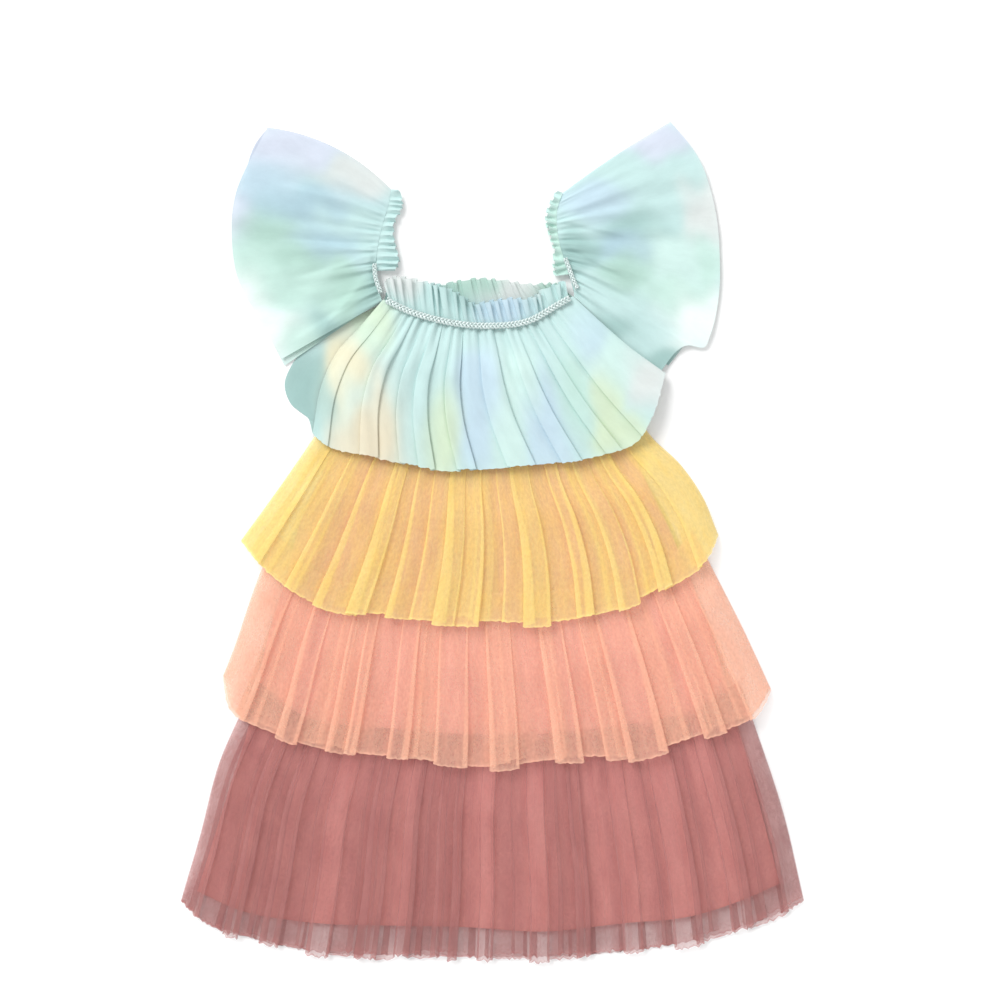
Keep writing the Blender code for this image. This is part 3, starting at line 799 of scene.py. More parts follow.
@dataclass
class PleatedTier:
    """One gathered tier: a front of one or two plies whose pleats lap, and a pressed back."""

    name: str
    shape: Outline
    folds: tuple[Fold, ...]
    slot: str
    seed: int
    cut: Cut
    above: Points | None = None
    foot: Points | None = None
    plies: tuple[Ply, ...] = (INNER, OUTER)
    back_shape: Outline | None = None
    lifts: tuple[tuple[float, ...], tuple[float, ...]] | None = None
    lift_rows: tuple[float, ...] = (0.0, 0.22, 0.5, 0.78, 1.0)
    gather: float = 6.5
    gather_height: float = 0.7
    softness: float = 0.45
    rows: int = 44
    hem_rows: Array = field(default_factory=lambda: np.array([3.2, 1.8, 0.8, 0.0]))
    face_step: float = 1.9
    run_columns: int = 6
    blooms: tuple[Bloom, ...] = ()
    ground: Dye = Dye.AQUA
    ragged: float = 0.7
    back_plain: float = 14.0
    back_cover: float = 1.0
    drawn_aside: tuple[tuple[float, float], ...] = ()

    def build(self, finish: bpy.types.Material) -> None:
        """Builds the back, then the front's plies from the inside out.

        Args:
            finish: The tier's cloth.
        """
        back = self.back()
        dress_up(back, finish, (f"{self.name}_tier_back",))
        for ply in self.plies:
            front = self.front(ply)
            stands_for = (f"{self.name}_tier_front",) if ply is self.plies[-1] else ()
            dress_up(front, finish, stands_for)

    def pleats(self, ply: Ply) -> tuple[Fold, ...]:
        """The pleats of a ply: the outer one has the tier's own, and an inner one has others that
        lie between them."""
        if not ply.between:
            return self.folds
        random = np.random.default_rng(self.seed)
        edges = [fold.x for fold in self.folds]
        middles = (np.array(edges[1:]) + np.array(edges[:-1])) / 2
        moved = middles + random.uniform(-INNER_STRAYS, INNER_STRAYS, len(middles))
        tops = np.where(random.random(len(middles)) < 0.5, 1, -1)
        laps = random.uniform(*INNER_LAPS, len(middles))
        drops = random.uniform(-INNER_DROPS, INNER_DROPS, len(middles)) + ply.hem
        return tuple(
            Fold(float(x), int(top), float(drop), float(lap))
            for x, top, drop, lap in zip(moved, tops, drops, laps)
        )

    def rows_down(self, shape: Outline) -> Array:
        """Shares of the fall where the cloth has a row: even ones, and closer ones at the hem."""
        last = self.hem_rows / length_of(shape.left)
        return np.concatenate([np.linspace(0.0, 1.0 - last.max() * 1.6, self.rows), 1.0 - last])

    def grid(self, folds: tuple[Fold, ...], shape: Outline) -> tuple[Array, Array, Array, Array]:
        """Lays out the columns: across each face, and back and forth through each lapped pleat.

        Args:
            folds: The pleats.
            shape: The panel's edges.

        Returns:
            Column shares and row shares, both rows by columns, and for each column the pleats'
            height from -1 to 1 and the hem's drop.
        """
        rows = self.rows_down(shape)
        width = length_of(shape.hem)
        places = share_at_x(shape.hem, np.array([fold.x for fold in folds]))
        tops = np.array([fold.top for fold in folds])
        room = np.diff(np.concatenate([[0.0], places, [1.0]])) * width
        widest = MOST_LAP * np.minimum(room[:-1], room[1:])
        laps = np.minimum([fold.lap for fold in folds], widest)
        opened = (LAP_AT_SEAM + LAP_OPENS * rows**LAP_CURVE)[:, None] * laps / width
        first = places + np.where(tops > 0, 0.0, opened)
        second = places - np.where(tops > 0, opened, 0.0)
        stations = np.empty((len(rows), 2 * len(folds) + 2))
        stations[:, 0], stations[:, -1] = 0.0, 1.0
        stations[:, 1:-1:2], stations[:, 2:-1:2] = first, second
        faces = np.maximum(6, np.ceil(room / self.face_step)).astype(int)
        counts = np.full(2 * len(folds) + 1, self.run_columns)
        counts[::2] = faces
        starts = np.concatenate([[0], np.cumsum(counts)])
        column = np.arange(starts[-1] + 1)
        at = np.interp(column, starts, np.arange(len(starts)))
        low = np.minimum(at.astype(int), len(starts) - 2)
        part = at - low
        across = stations[:, low] * (1 - part) + stations[:, low + 1] * part
        across = soften(np.clip(across, 0.0, 1.0), 2)
        knots = np.empty(2 * len(folds) + 2)
        knots[0], knots[-1] = 0, starts[-1]
        knots[1:-1:2] = starts[1:-1:2] - TURN_COLUMNS
        knots[2:-1:2] = starts[2:-1:2] + TURN_COLUMNS
        heights = np.zeros(len(knots))
        heights[1:-1:2], heights[2:-1:2] = tops, -tops
        drops = np.repeat([0.0, *[fold.drop for fold in folds]], 2)
        crown = CROWN * np.sin(np.pi * np.clip(part, 0, 1)) ** 2 * (low % 2 == 0)
        height = soften(np.interp(column, knots, heights)[None], 2)[0] + crown
        drop = soften(np.interp(column, knots, drops)[None], 2)[0]
        return across, np.broadcast_to(rows[:, None], across.shape), height, drop

    def hang(self, shape: Outline, across: Array, down: Array, drop: Array) -> Array:
        """Plan points of the cloth, let down at the hem by its pleats and its ragged cut edge."""
        plan = patch(shape.seam, shape.hem, shape.left, shape.right, across, down)
        run = plan[-1] - plan[0]
        run = run / np.linalg.norm(run, axis=1)[:, None]
        cut = self.ragged * ripple(self.seed + 3, across * length_of(shape.hem), down, (5.0, 9.0))
        fall = down**2 * drop[None] + down**10 * cut
        return plan + run[None] * fall[..., None]

    def over_back(self, plan: Array) -> Array:
        """The height of the back: on the floor, or over the tier above where that one hides it."""
        if self.above is None:
            return np.full(plan.shape[:-1], BACK_ON_FLOOR)
        covered = 1 - eased(past_edge(self.above, plan), BACK_SETTLES)
        return BACK_ON_FLOOR + (BACK_OVER_BACK - BACK_ON_FLOOR) * covered

    def gathers(self, across: Array, down: Array, width: float) -> Array:
        """Fine waves from the gathered seam, which die away down the cloth, each at its own
        rate."""
        along = across * width
        sway = along + 1.6 * ripple(self.seed, along, 0 * down, (31.0, 53.0))
        fine = 2 * (0.5 + 0.5 * np.sin(2 * np.pi * sway / self.gather)) ** 0.5 - 1.3
        broad = np.sin(2 * np.pi * along / (2.3 * self.gather) + 1.0)
        reach = 0.16 + 0.07 * ripple(self.seed + 1, along, 0 * down, (23.0, 41.0))
        reach = np.maximum(reach, 0.05)
        return 0.65 * fine * np.exp(-down / reach) + 0.5 * broad * np.exp(-down / (2.6 * reach))

    def front(self, ply: Ply) -> bpy.types.Object:
        """One ply of the front. Its height is its loft, rounded down to the back at the sides and
        lowered under the tier above, plus its pleats, its gathers and soft ripples.

        Args:
            ply: Which layer it is.

        Returns:
            The sheet.
        """
        across, down, pleat, drop = self.grid(self.pleats(ply), self.shape)
        plan = self.hang(self.shape, across, down, drop)
        if self.above is None:
            shown = eased(down, TOP_LOFT_RISES)
        else:
            shown = eased(past_edge(self.above, plan), LOFT_RISES)
        core = ply.covered + (ply.loft - ply.covered) * shown
        if self.foot is not None:
            let_down = eased(past_edge(self.foot, plan), FOOT_SETTLES)
            core = core - (ply.loft - LAST_HEM - LAST_HEM_SPREAD * ply.at_side) * let_down
        side = from_sides(across, plan)
        edge = self.over_back(plan) + ply.at_side
        if self.lifts is not None:
            lifted = [np.interp(down, self.lift_rows, lift) for lift in self.lifts]
            edge = np.maximum(edge, np.where(across < 0.5, *lifted))
        near = np.clip(side / SIDE_ROUND, 0, 1)
        z = edge + (core - edge) * rounded(side, SIDE_ROUND)
        width = length_of(self.shape.seam)
        relief = ply.fold_height * (PLEAT_COVERED + PLEAT_SHOWN * shown) * pleat[None]
        relief = relief + self.gather_height * self.gathers(across, down, width)
        wide = across * length_of(self.shape.hem)
        soft = ripple(self.seed + 7, wide, down * MEAN_FALL, (17.0, 29.0, 43.0, 61.0))
        z = z + (relief + self.softness * (SOFT_COVERED + shown) * soft) * near
        floor = LINING_FRONT + FOLD_RISE * folded_lining(plan) + ply.clear
        z = np.maximum(z, edge + (floor - edge) * eased(inside_lining(plan), LINING_LIFTS))
        name = f"{self.name}_front_{ply.name}"
        bunched = self.bunched(across) if ply.between else np.ones(across.shape)
        return self.sheet(name, plan, z, down, ply.cover * bunched)

    def bunched(self, across: Array) -> Array:
        """How dense the inner ply lies: thin where it is drawn aside, and full beside that."""
        x = np.interp(across, *self.hem_places())
        open_share = np.zeros(x.shape)
        for left, right in self.drawn_aside:
            here = eased(x - left, ASIDE_BLURS) * (1 - eased(x - right, ASIDE_BLURS))
            open_share = np.maximum(open_share, here)
        return 1.0 - ASIDE_THINS * open_share

    def hem_places(self) -> tuple[Array, Array]:
        """Shares along the hem and the x of each."""
        shares = np.linspace(0.0, 1.0, 300)
        return shares, curve(self.shape.hem, shares)[:, 0]

    def sheet(self, name: str, plan: Array, z: Array, down: Array,
              cover: Array | float) -> bpy.types.Object:
        """Makes a ply's points a sheet: dyed voile, or tulle that is denser at its cut edge."""
        points = np.dstack([plan, z])
        if self.blooms:
            return sheet_mesh(name, points, dyed(self.blooms, self.ground, plan))
        to_hem = (1 - down) * length_of(self.shape.left)
        at_hem = np.exp(-((to_hem / CUT_EDGE_WIDTH) ** 2))
        return sheet_mesh(name, points, cover=cover * (1 + CUT_EDGE_COVER * at_hem))

    def back(self) -> bpy.types.Object:
        """The back, pressed on the floor: its pleats are as flat as layers of cloth."""
        shape = self.back_shape or self.shape
        random = np.random.default_rng(self.seed + 20)
        hem = curve(shape.hem, np.array([0.0, 1.0]))[:, 0]
        places = np.arange(hem[0] + self.back_plain, hem[1] - BACK_MARGIN, BACK_PITCH)
        folds = tuple(
            Fold(float(x), int(top), 0.0, float(lap))
            for x, top, lap in zip(
                places + random.uniform(-BACK_STRAYS, BACK_STRAYS, len(places)),
                np.where(random.random(len(places)) < 0.5, 1, -1),
                random.uniform(*BACK_LAPS, len(places)),
            )
        )
        across, down, pleat, drop = self.grid(folds, shape)
        plan = self.hang(shape, across, down, drop)
        z = self.over_back(plan) + PRESSED_PLEAT * pleat[None]
        return self.sheet(f"{self.name}_back_ply", plan, z, down, self.back_cover)


@dataclass
class Frill:
    """A gathered strip that stands out past its seam, in tight waves that lean over each other."""

    name: str
    seam: Points
    edge: Points
    waves: int
    seam_height: float
    edge_height: float
    seam_wave: float
    edge_wave: float
    cut: Cut
    stands_for: str
    rests_on: tuple[str, ...]
    seed: int
    lean: float = 1.9
    dip: float = 2.2
    rows: int = 17
    columns_a_wave: int = 14
    lift: float = 0.15
    blooms: tuple[Bloom, ...] = ()
    ground: Dye = Dye.AQUA

    def build(self, finish: bpy.types.Material) -> None:
        """Builds the strip: cosine waves whose crests swing sideways, as a ruffle's do.

        Args:
            finish: Its cloth.
        """
        count = self.waves * self.columns_a_wave + 1
        down, across = np.meshgrid(
            np.linspace(0, 1, self.rows), np.linspace(0, 1, count), indexing="ij"
        )
        length = length_of(self.seam)
        jitter = ripple(self.seed, across * length, 0 * down, (19.0, 31.0, 47.0))
        phase = 2 * np.pi * self.waves * across + 1.9 * jitter
        swell = 0.75 + 0.3 * ripple(self.seed + 1, across * length, 0 * down, (13.0, 23.0, 37.0))
        seam, edge = curve(self.seam, across), curve(self.edge, across)
        away = edge - seam
        reach = np.linalg.norm(away, axis=-1, keepdims=True)
        away = away / reach
        aside = np.stack([away[..., 1], -away[..., 0]], axis=-1)
        fade = smooth(across / 0.04) * smooth((1 - across) / 0.04)
        swing = self.lean * np.sin(2 * phase + 0.7) * down**1.2 * swell * fade
        fall = -self.dip * (0.5 + 0.5 * np.cos(phase)) * down**2
        stand = self.lift + (reach[..., 0] - self.lift) * down + fall
        plan = seam + away * stand[..., None] + aside * swing[..., None]
        middle = self.seam_height + (self.edge_height - self.seam_height) * down
        height = self.seam_wave + (self.edge_wave - self.seam_wave) * down**0.8
        z = middle + height * np.cos(phase) * swell
        z = z + 0.35 * ripple(self.seed + 5, across * length, down * 30, (4.7, 7.9), 0.6) * down
        colours = dyed(self.blooms, self.ground, plan)
        piece = sheet_mesh(self.name, np.dstack([plan, np.maximum(z, 0.3)]), colours)
        dress_up(piece, finish, (self.stands_for,))


class Spoke(NamedTuple):
    """One section of a sleeve, from its gathered edge to its free edge."""

    gather: tuple[float, float]
    outer: tuple[float, float]


@dataclass
class Sleeve:
    """A flutter sleeve: a fan of voile folded over along its top edge, which bows a little, and
    gathered at the neck."""

    side: str
    bow: float
    front: tuple[Spoke, ...]
    back: tuple[Spoke, ...]
    creases: tuple[Crease, ...]
    blooms: tuple[Bloom, ...]
    seed: int
    cut: Cut
    rows: int = 84
    front_columns: int = 190
    back_columns: int = 90
    high: float = 5.2
    low: float = 0.5
    over_back: float = 1.55
    at_fold: float = 2.9
    fold_round: float = 26.0
    gather: float = 4.6
    gather_height: float = 1.5
    crease_height: float = 1.7
    soft_height: float = 0.7
    relief_range: tuple[float, float] = (-2.4, 3.2)
    pressed: float = 0.15
    settles: tuple[float, float] = (12.0, 14.0)

    def build(self, finish: bpy.types.Material) -> None:
        """Builds the sleeve as one sheet, its front ply first.

        Args:
            finish: Its cloth.
        """
        joined = np.concatenate([self.ply(False), self.ply(True)[:, 1:]], axis=1)
        colours = dyed(self.blooms, Dye.AQUA, joined[..., :2])
        piece = sheet_mesh(f"sleeve_{self.side}_voile", joined, colours)
        dress_up(piece, finish, (f"sleeve_{self.side}",))

    def ply(self, behind: bool) -> Array:
        """One ply: straight lines from the gathered edge to the free edge, raised by gathers that
        open outwards, by placed creases and by soft ripples, and rounded down to the fold.

        Args:
            behind: Whether it is the ply that lies on the floor.

        Returns:
            Its points, rows by columns by 3.
        """
        spokes = (self.front[-1], *self.back) if behind else self.front
        count = self.back_columns if behind else self.front_columns
        down, across = np.meshgrid(
            np.linspace(0, 1, self.rows), np.linspace(0, 1, count), indexing="ij"
        )
        gathered = tuple(spoke.gather for spoke in spokes)
        outer = tuple(spoke.outer for spoke in spokes)
        start, run = curve(gathered, across), curve(outer, across) - curve(gathered, across)
        upwards = np.stack([run[..., 1], -run[..., 0]], axis=-1)
        upwards = upwards * np.sign(upwards[..., 1:])
        upwards = upwards / np.linalg.norm(upwards, axis=-1, keepdims=True)
        near_fold = 1 - across if behind else across
        bow = self.bow * eased(near_fold, SLEEVE_BOWS) * 4 * down * (1 - down)
        plan = start + run * down[..., None] + upwards * bow[..., None]
        from_fold = np.linalg.norm(plan - plan[:, :1] if behind else plan - plan[:, -1:], axis=2)
        along = across * length_of(gathered)
        sway = along + 1.3 * ripple(self.seed, along, 0 * down, (17.0, 29.0))
        fine = np.sin(2 * np.pi * sway / self.gather) * np.exp(-down / 0.09)
        broad = np.sin(2 * np.pi * sway / (2.1 * self.gather) + 0.6) * np.exp(-down / 0.34)
        if behind:
            to_body = np.linalg.norm(plan - plan[:, -1:], axis=2)
            z = self.low + self.over_back * (1 - eased(to_body, self.settles))
            return np.dstack([plan, z + self.pressed * broad])
        near = np.clip(from_fold / self.fold_round, 0, 1)
        z = self.at_fold + (self.high - self.at_fold) * rounded(from_fold, self.fold_round)
        soft = ripple(self.seed + 4, across * 220, down * 130, (24.0, 37.0, 58.0), 0.5)
        relief = self.gather_height * (0.55 * fine + 0.75 * broad)
        relief = relief + self.crease_height * creased(self.creases, plan)
        relief = relief + self.soft_height * soft * eased(down, SLEEVE_SOFTENS)
        opened = 0.2 + 0.8 * eased(down, SLEEVE_RISES)
        z = z + np.clip(relief, *self.relief_range) * near * opened
        return np.dstack([plan, z])


@dataclass
class Braid:
    """Flat metallic braid: three strands that pass over each other along a line, each rising and
    falling by a share of its radius."""

    name: str
    line: Points
    height: float
    stands_for: str
    width: float = 6.4
    strand: float = 1.0
    strands: int = 3
    passing: float = 0.55
    pitch: float = 10.0
    sides: int = 8
    step: float = 0.6

    def build(self, finish: bpy.types.Material) -> None:
        """Builds the strands: each swings across as a sine and rises as one at twice the pace, a
        third of a turn after the last.

        Args:
            finish: The braid's film and core.
        """
        length = length_of(self.line)
        count = int(length / self.step)
        shares = np.linspace(0, 1, count)
        middle = curve(self.line, shares)
        run = np.gradient(middle, axis=0)
        run /= np.linalg.norm(run, axis=1)[:, None]
        aside = np.stack([run[:, 1], -run[:, 0]], axis=1)
        points, faces = [], []
        for number in range(self.strands):
            turn = 2 * np.pi * (shares * length / self.pitch + number / self.strands)
            swing = np.sin(turn) * (self.width / 2 - self.strand)
            rise = np.sin(2 * turn) * self.strand * self.passing
            path = np.column_stack([middle + aside * swing[:, None], self.height + rise])
            points.append(self.tube(path))
            ring = np.arange(count * self.sides).reshape(count, self.sides)
            ring = ring + number * count * self.sides
            after = np.roll(ring, -1, axis=1)
            quads = np.stack([ring[:-1], ring[1:], after[1:], after[:-1]], axis=2).reshape(-1, 4)
            faces += quads.tolist() + [ring[0].tolist(), ring[-1, ::-1].tolist()]
        placed = (np.concatenate(points) + np.array(OUTLINE_TO_ORIGIN)) * MM
        mesh = bpy.data.meshes.new(self.name)
        mesh.from_pydata(placed.tolist(), [], faces)
        mesh.materials.append(finish)
        mesh.shade_smooth()
        piece = bpy.data.objects.new(self.name, mesh)
        bpy.context.scene.collection.objects.link(piece)
        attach(piece, "root")
        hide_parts(self.stands_for)
        log.info("%s: %d faces", piece.name, len(mesh.polygons))

    def tube(self, path: Array) -> Array:
        """Rings of points round a path: its side vector and its upward one, turned by cosine and
        sine."""
        run = np.gradient(path, axis=0)
        run /= np.linalg.norm(run, axis=1)[:, None]
        side = np.cross(run, [0.0, 0.0, 1.0])
        side /= np.linalg.norm(side, axis=1)[:, None]
        up = np.cross(side, run)
        turn = 2 * np.pi * np.arange(self.sides) / self.sides
        ring = side[:, None] * np.cos(turn)[:, None] + up[:, None] * np.sin(turn)[:, None]
        return (path[:, None] + self.strand * ring).reshape(-1, 3)


@dataclass
class Studio:
    """The pale floor, the soft light and the camera straight above."""

    view_width: float = 885.6
    look_at: tuple[float, float] = (-0.45, 44.8)
    lens: float = 85.0
    sensor: float = 36.0
    floor_metres: float = 8.0
    floor_colour: str = "#FAFAFA"
    sky: float = 0.8
    sun: float = 2.1
    sun_softness: float = 0.5
    sun_lean: float = -34.0

    def build(self) -> None:
        """Builds the floor, the lights and the camera."""
        self.lay_floor()
        self.light()
        self.aim()

    def lay_floor(self) -> None:
        """A wide plane that the dress lies on."""
        bpy.ops.mesh.primitive_plane_add(size=self.floor_metres)
        floor = bpy.context.object
        floor.name = "floor"
        material, shader = start_material("painted_studio_floor")
        shader.inputs["Base Color"].default_value = linear(self.floor_colour)
        shader.inputs["Roughness"].default_value = 0.9
        shader.inputs["Specular IOR Level"].default_value = 0.1
        floor.data.materials.append(material)

    def light(self) -> None:
        """An even pale sky, and a broad soft lamp from the upper left."""
        scene = bpy.context.scene
        world = bpy.data.worlds.new("pale_sky")
        world.use_nodes = True
        background = world.node_tree.nodes["Background"]
        background.inputs["Color"].default_value = (1.0, 1.0, 1.0, 1.0)
        background.inputs["Strength"].default_value = self.sky
        scene.world = world
        lamp = bpy.data.lights.new("window", "SUN")
        lamp.energy = self.sun
        lamp.angle = self.sun_softness
        window = bpy.data.objects.new("window", lamp)
        window.rotation_euler = (np.radians(self.sun_lean), np.radians(self.sun_lean), 0.0)
        scene.collection.objects.link(window)
        scene.view_settings.view_transform = "Standard"
        scene.cycles.transparent_max_bounces = 32

    def aim(self) -> None:
        """A camera straight above, far enough for its lens to take in the view's width."""
        lens = bpy.data.cameras.new("camera")
        lens.lens = self.lens
        lens.sensor_width = self.sensor
        camera = bpy.data.objects.new("camera", lens)
        distance = self.view_width * MM * self.lens / self.sensor
        place = (self.look_at[0] * MM, self.look_at[1] * MM, distance)
        camera.matrix_world = Matrix.Translation(place)
        bpy.context.scene.collection.objects.link(camera)
        bpy.context.scene.camera = camera


AQUA_HEM = ((-162, 99), (-150, 89), (-106, 78), (-43, 67), (14, 69), (61, 73), (97, 79),
            (130, 92), (142, 112), (155, 153))
AQUA_SEAM = ((-98, 219), (-79, 210), (-47, 200), (-4, 195), (34, 200), (57, 213), (72, 222))
AQUA_BACK_SEAM = ((-98, 216), (-50, 212), (-4, 211), (34, 214), (72, 222))
AQUA_RIGHT = ((72, 222), (97, 199), (121, 178), (155, 153))
YELLOW_HEM = ((-226, 3), (-200, -26), (-157, -54), (-83, -66), (-2, -70), (74, -66), (120, -56),
              (160, -36), (192, -13), (203, 8))

BODICE_BLOOMS = (
    Bloom(-132, 158, 13, 30, Dye.CREAM), Bloom(-108, 196, 14, 16, Dye.LEAF),
    Bloom(-108, 102, 22, 34, Dye.SAND), Bloom(-122, 130, 14, 20, Dye.LIGHT),
    Bloom(-70, 130, 18, 40, Dye.AQUA), Bloom(-46, 98, 12, 26, Dye.LEAF),
    Bloom(-10, 146, 14, 26, Dye.ICE), Bloom(-14, 104, 12, 22, Dye.ICE),
    Bloom(18, 128, 14, 44, Dye.LIGHT), Bloom(50, 104, 16, 30, Dye.ICE),
    Bloom(72, 136, 12, 30, Dye.MINT), Bloom(101, 120, 9, 26, Dye.LEAF),
    Bloom(112, 98, 16, 12, Dye.LEAF), Bloom(104, 166, 16, 20, Dye.LIGHT),
    Bloom(88, 182, 12, 16, Dye.ICE), Bloom(140, 150, 16, 18, Dye.PEARL),
    Bloom(-170, 140, 18, 24, Dye.TEAL_DYE_AND_SHADE), Bloom(-10, 190, 90, 14, Dye.AQUA),
)
# Dye patches of the left sleeve; the teal and sage ones by the gathered edge are painted shade.
LEFT_SLEEVE_BLOOMS = (
    Bloom(-190, 358, 46, 16, Dye.LILAC), Bloom(-116, 330, 26, 14, Dye.PEARL),
    Bloom(-214, 328, 24, 16, Dye.ICE), Bloom(-170, 305, 40, 14, Dye.BLUE),
    Bloom(-228, 296, 10, 16, Dye.LILAC), Bloom(-206, 284, 22, 13, Dye.SAGE),
    Bloom(-128, 288, 20, 16, Dye.AQUA), Bloom(-142, 270, 22, 12, Dye.BLUE),
    Bloom(-174, 256, 24, 10, Dye.SAGE), Bloom(-214, 254, 18, 16, Dye.MINT),
    Bloom(-180, 232, 34, 16, Dye.MINT), Bloom(-222, 222, 16, 22, Dye.FOAM),
    Bloom(-200, 188, 20, 16, Dye.FOAM), Bloom(-130, 226, 16, 18, Dye.SAGE),
    Bloom(-112, 232, 8, 22, Dye.TEAL_DYE_AND_SHADE), Bloom(-170, 182, 16, 12, Dye.MINT),
    Bloom(-146, 186, 14, 12, Dye.TEAL_DYE_AND_SHADE), Bloom(-110, 262, 12, 12, Dye.AQUA),
)
# Dye patches of the right sleeve; the teal and sage ones by the gathered edge are painted shade.
RIGHT_SLEEVE_BLOOMS = (
    Bloom(150, 362, 36, 12, Dye.LILAC), Bloom(120, 336, 24, 12, Dye.AQUA),
    Bloom(178, 344, 16, 16, Dye.AQUA), Bloom(98, 308, 22, 12, Dye.ICE),
    Bloom(142, 308, 24, 16, Dye.AQUA), Bloom(190, 300, 14, 24, Dye.PEARL),
    Bloom(126, 290, 20, 12, Dye.TEAL_DYE_AND_SHADE), Bloom(116, 268, 16, 12, Dye.BLUE),
    Bloom(166, 254, 26, 18, Dye.LIGHT), Bloom(124, 246, 16, 12, Dye.SAGE),
    Bloom(78, 262, 16, 9, Dye.TEAL_DYE_AND_SHADE), Bloom(192, 250, 10, 14, Dye.MINT),
    Bloom(160, 224, 22, 12, Dye.MINT), Bloom(180, 200, 22, 20, Dye.FOAM),
    Bloom(128, 208, 18, 14, Dye.AQUA), Bloom(110, 194, 22, 9, Dye.TEAL_DYE_AND_SHADE),
    Bloom(152, 164, 18, 10, Dye.TEAL_DYE_AND_SHADE), Bloom(146, 190, 16, 12, Dye.AQUA),
)

AQUA_TIER = PleatedTier(
    name="aqua",
    shape=Outline(
        AQUA_SEAM, AQUA_HEM,
        left=((-98, 219), (-119, 195), (-140, 172), (-153, 145), (-162, 99)),
        right=AQUA_RIGHT,
    ),
    back_shape=Outline(
        AQUA_BACK_SEAM, AQUA_HEM,
        left=((-98, 216), (-137, 197), (-163, 180), (-181, 160), (-187, 143), (-181, 125),
              (-166, 113), (-162, 99)),
        right=AQUA_RIGHT,
    ),
    folds=(
        Fold(-146, 1, 0, 6), Fold(-120, -1, 0, 8), Fold(-101, 1, 1, 5), Fold(-85, -1, 0, 9),
        Fold(-67, -1, 1, 4), Fold(-50, 1, 2, 7), Fold(-33, -1, 0, 6), Fold(-13, 1, 1, 9),
        Fold(12, -1, 0, 5), Fold(40, 1, 0, 8), Fold(61, -1, 1, 4), Fold(81, 1, 0, 8),
        Fold(100, -1, 0, 7), Fold(117, 1, 0, 5), Fold(133, -1, 0, 3),
    ),
    slot="dyed_voile",
    seed=1,
    cut=Cut(350.0, 150.0),
    plies=(VOILE,),
    lifts=((8.2, 3.6, 2.4, 2.4, 2.4), (8.6, 8.6, 8.6, 8.6, 8.6)),
    gather=7.0,
    gather_height=2.6,
    softness=1.0,
    back_plain=70.0,
    rows=60,
    blooms=BODICE_BLOOMS,
)
YELLOW_TIER = PleatedTier(
    name="yellow",
    shape=Outline(
        ((-137, 127), (-101, 107), (-4, 97), (88, 108), (122, 127)), YELLOW_HEM,
        left=((-137, 127), (-162, 93), (-187, 57), (-226, 3)),
        right=((122, 127), (143, 96), (169, 71), (189, 42), (203, 8)),
    ),
    folds=(
        Fold(-207, 1, 0, 12), Fold(-187, -1, 0, 8), Fold(-162, -1, 2, 12), Fold(-133, -1, 0, 14),
        Fold(-112, 1, -2, 6), Fold(-98, -1, 1, 10), Fold(-76, -1, 0, 5), Fold(-56, -1, 4, 20),
        Fold(-33, 1, 4, 4), Fold(-11, 1, -1, 8), Fold(7, -1, 0, 5), Fold(25, -1, 5, 22),
        Fold(53, 1, 1, 6), Fold(74, -1, 0, 8), Fold(93, 1, 0, 12), Fold(111, -1, 2, 10),
        Fold(133, 1, -3, 4), Fold(147, -1, 0, 10), Fold(162, 1, 2, 12), Fold(182, -1, 0, 8),
    ),
    slot="yellow_tulle",
    drawn_aside=((-176, -137), (-110, -60), (-3, 24), (56, 100), (120, 138), (163, 178)),
    seed=2,
    cut=Cut(520.0, 175.0),
    above=AQUA_HEM,
)
PEACH_TIER = PleatedTier(
    name="peach",
    shape=Outline(
        ((-194, 9), (-155, -26), (-83, -40), (-2, -44), (79, -38), (151, -19), (180, 12)),
        PEACH_HEM,
        left=((-194, 9), (-213, -37), (-234, -98), (-242, -118)),
        right=((180, 12), (195, -17), (225, -76), (250, -130)),
    ),
    folds=(
        Fold(-220, 1, 0, 9), Fold(-195, -1, 3, 11), Fold(-173, 1, 0, 7), Fold(-151, -1, 1, 8),
        Fold(-134, -1, 0, 5), Fold(-121, 1, -2, 9), Fold(-96, -1, 0, 6), Fold(-74, 1, -1, 10),
        Fold(-54, -1, 2, 6), Fold(-21, 1, 0, 8), Fold(-4, -1, 4, 9), Fold(25, 1, 0, 5),
        Fold(54, -1, 3, 12), Fold(83, 1, -3, 8), Fold(100, -1, 1, 6), Fold(119, -1, 4, 10),
        Fold(158, 1, -2, 12), Fold(187, -1, 3, 9), Fold(210, 1, 0, 8), Fold(229, -1, 1, 6),
    ),
    slot="peach_tulle",
    drawn_aside=((-190, -172), (-120, -78), (-50, -8), (28, 54), (70, 99), (124, 152), (178, 192)),
    seed=3,
    cut=Cut(590.0, 165.0),
    above=YELLOW_HEM,
)
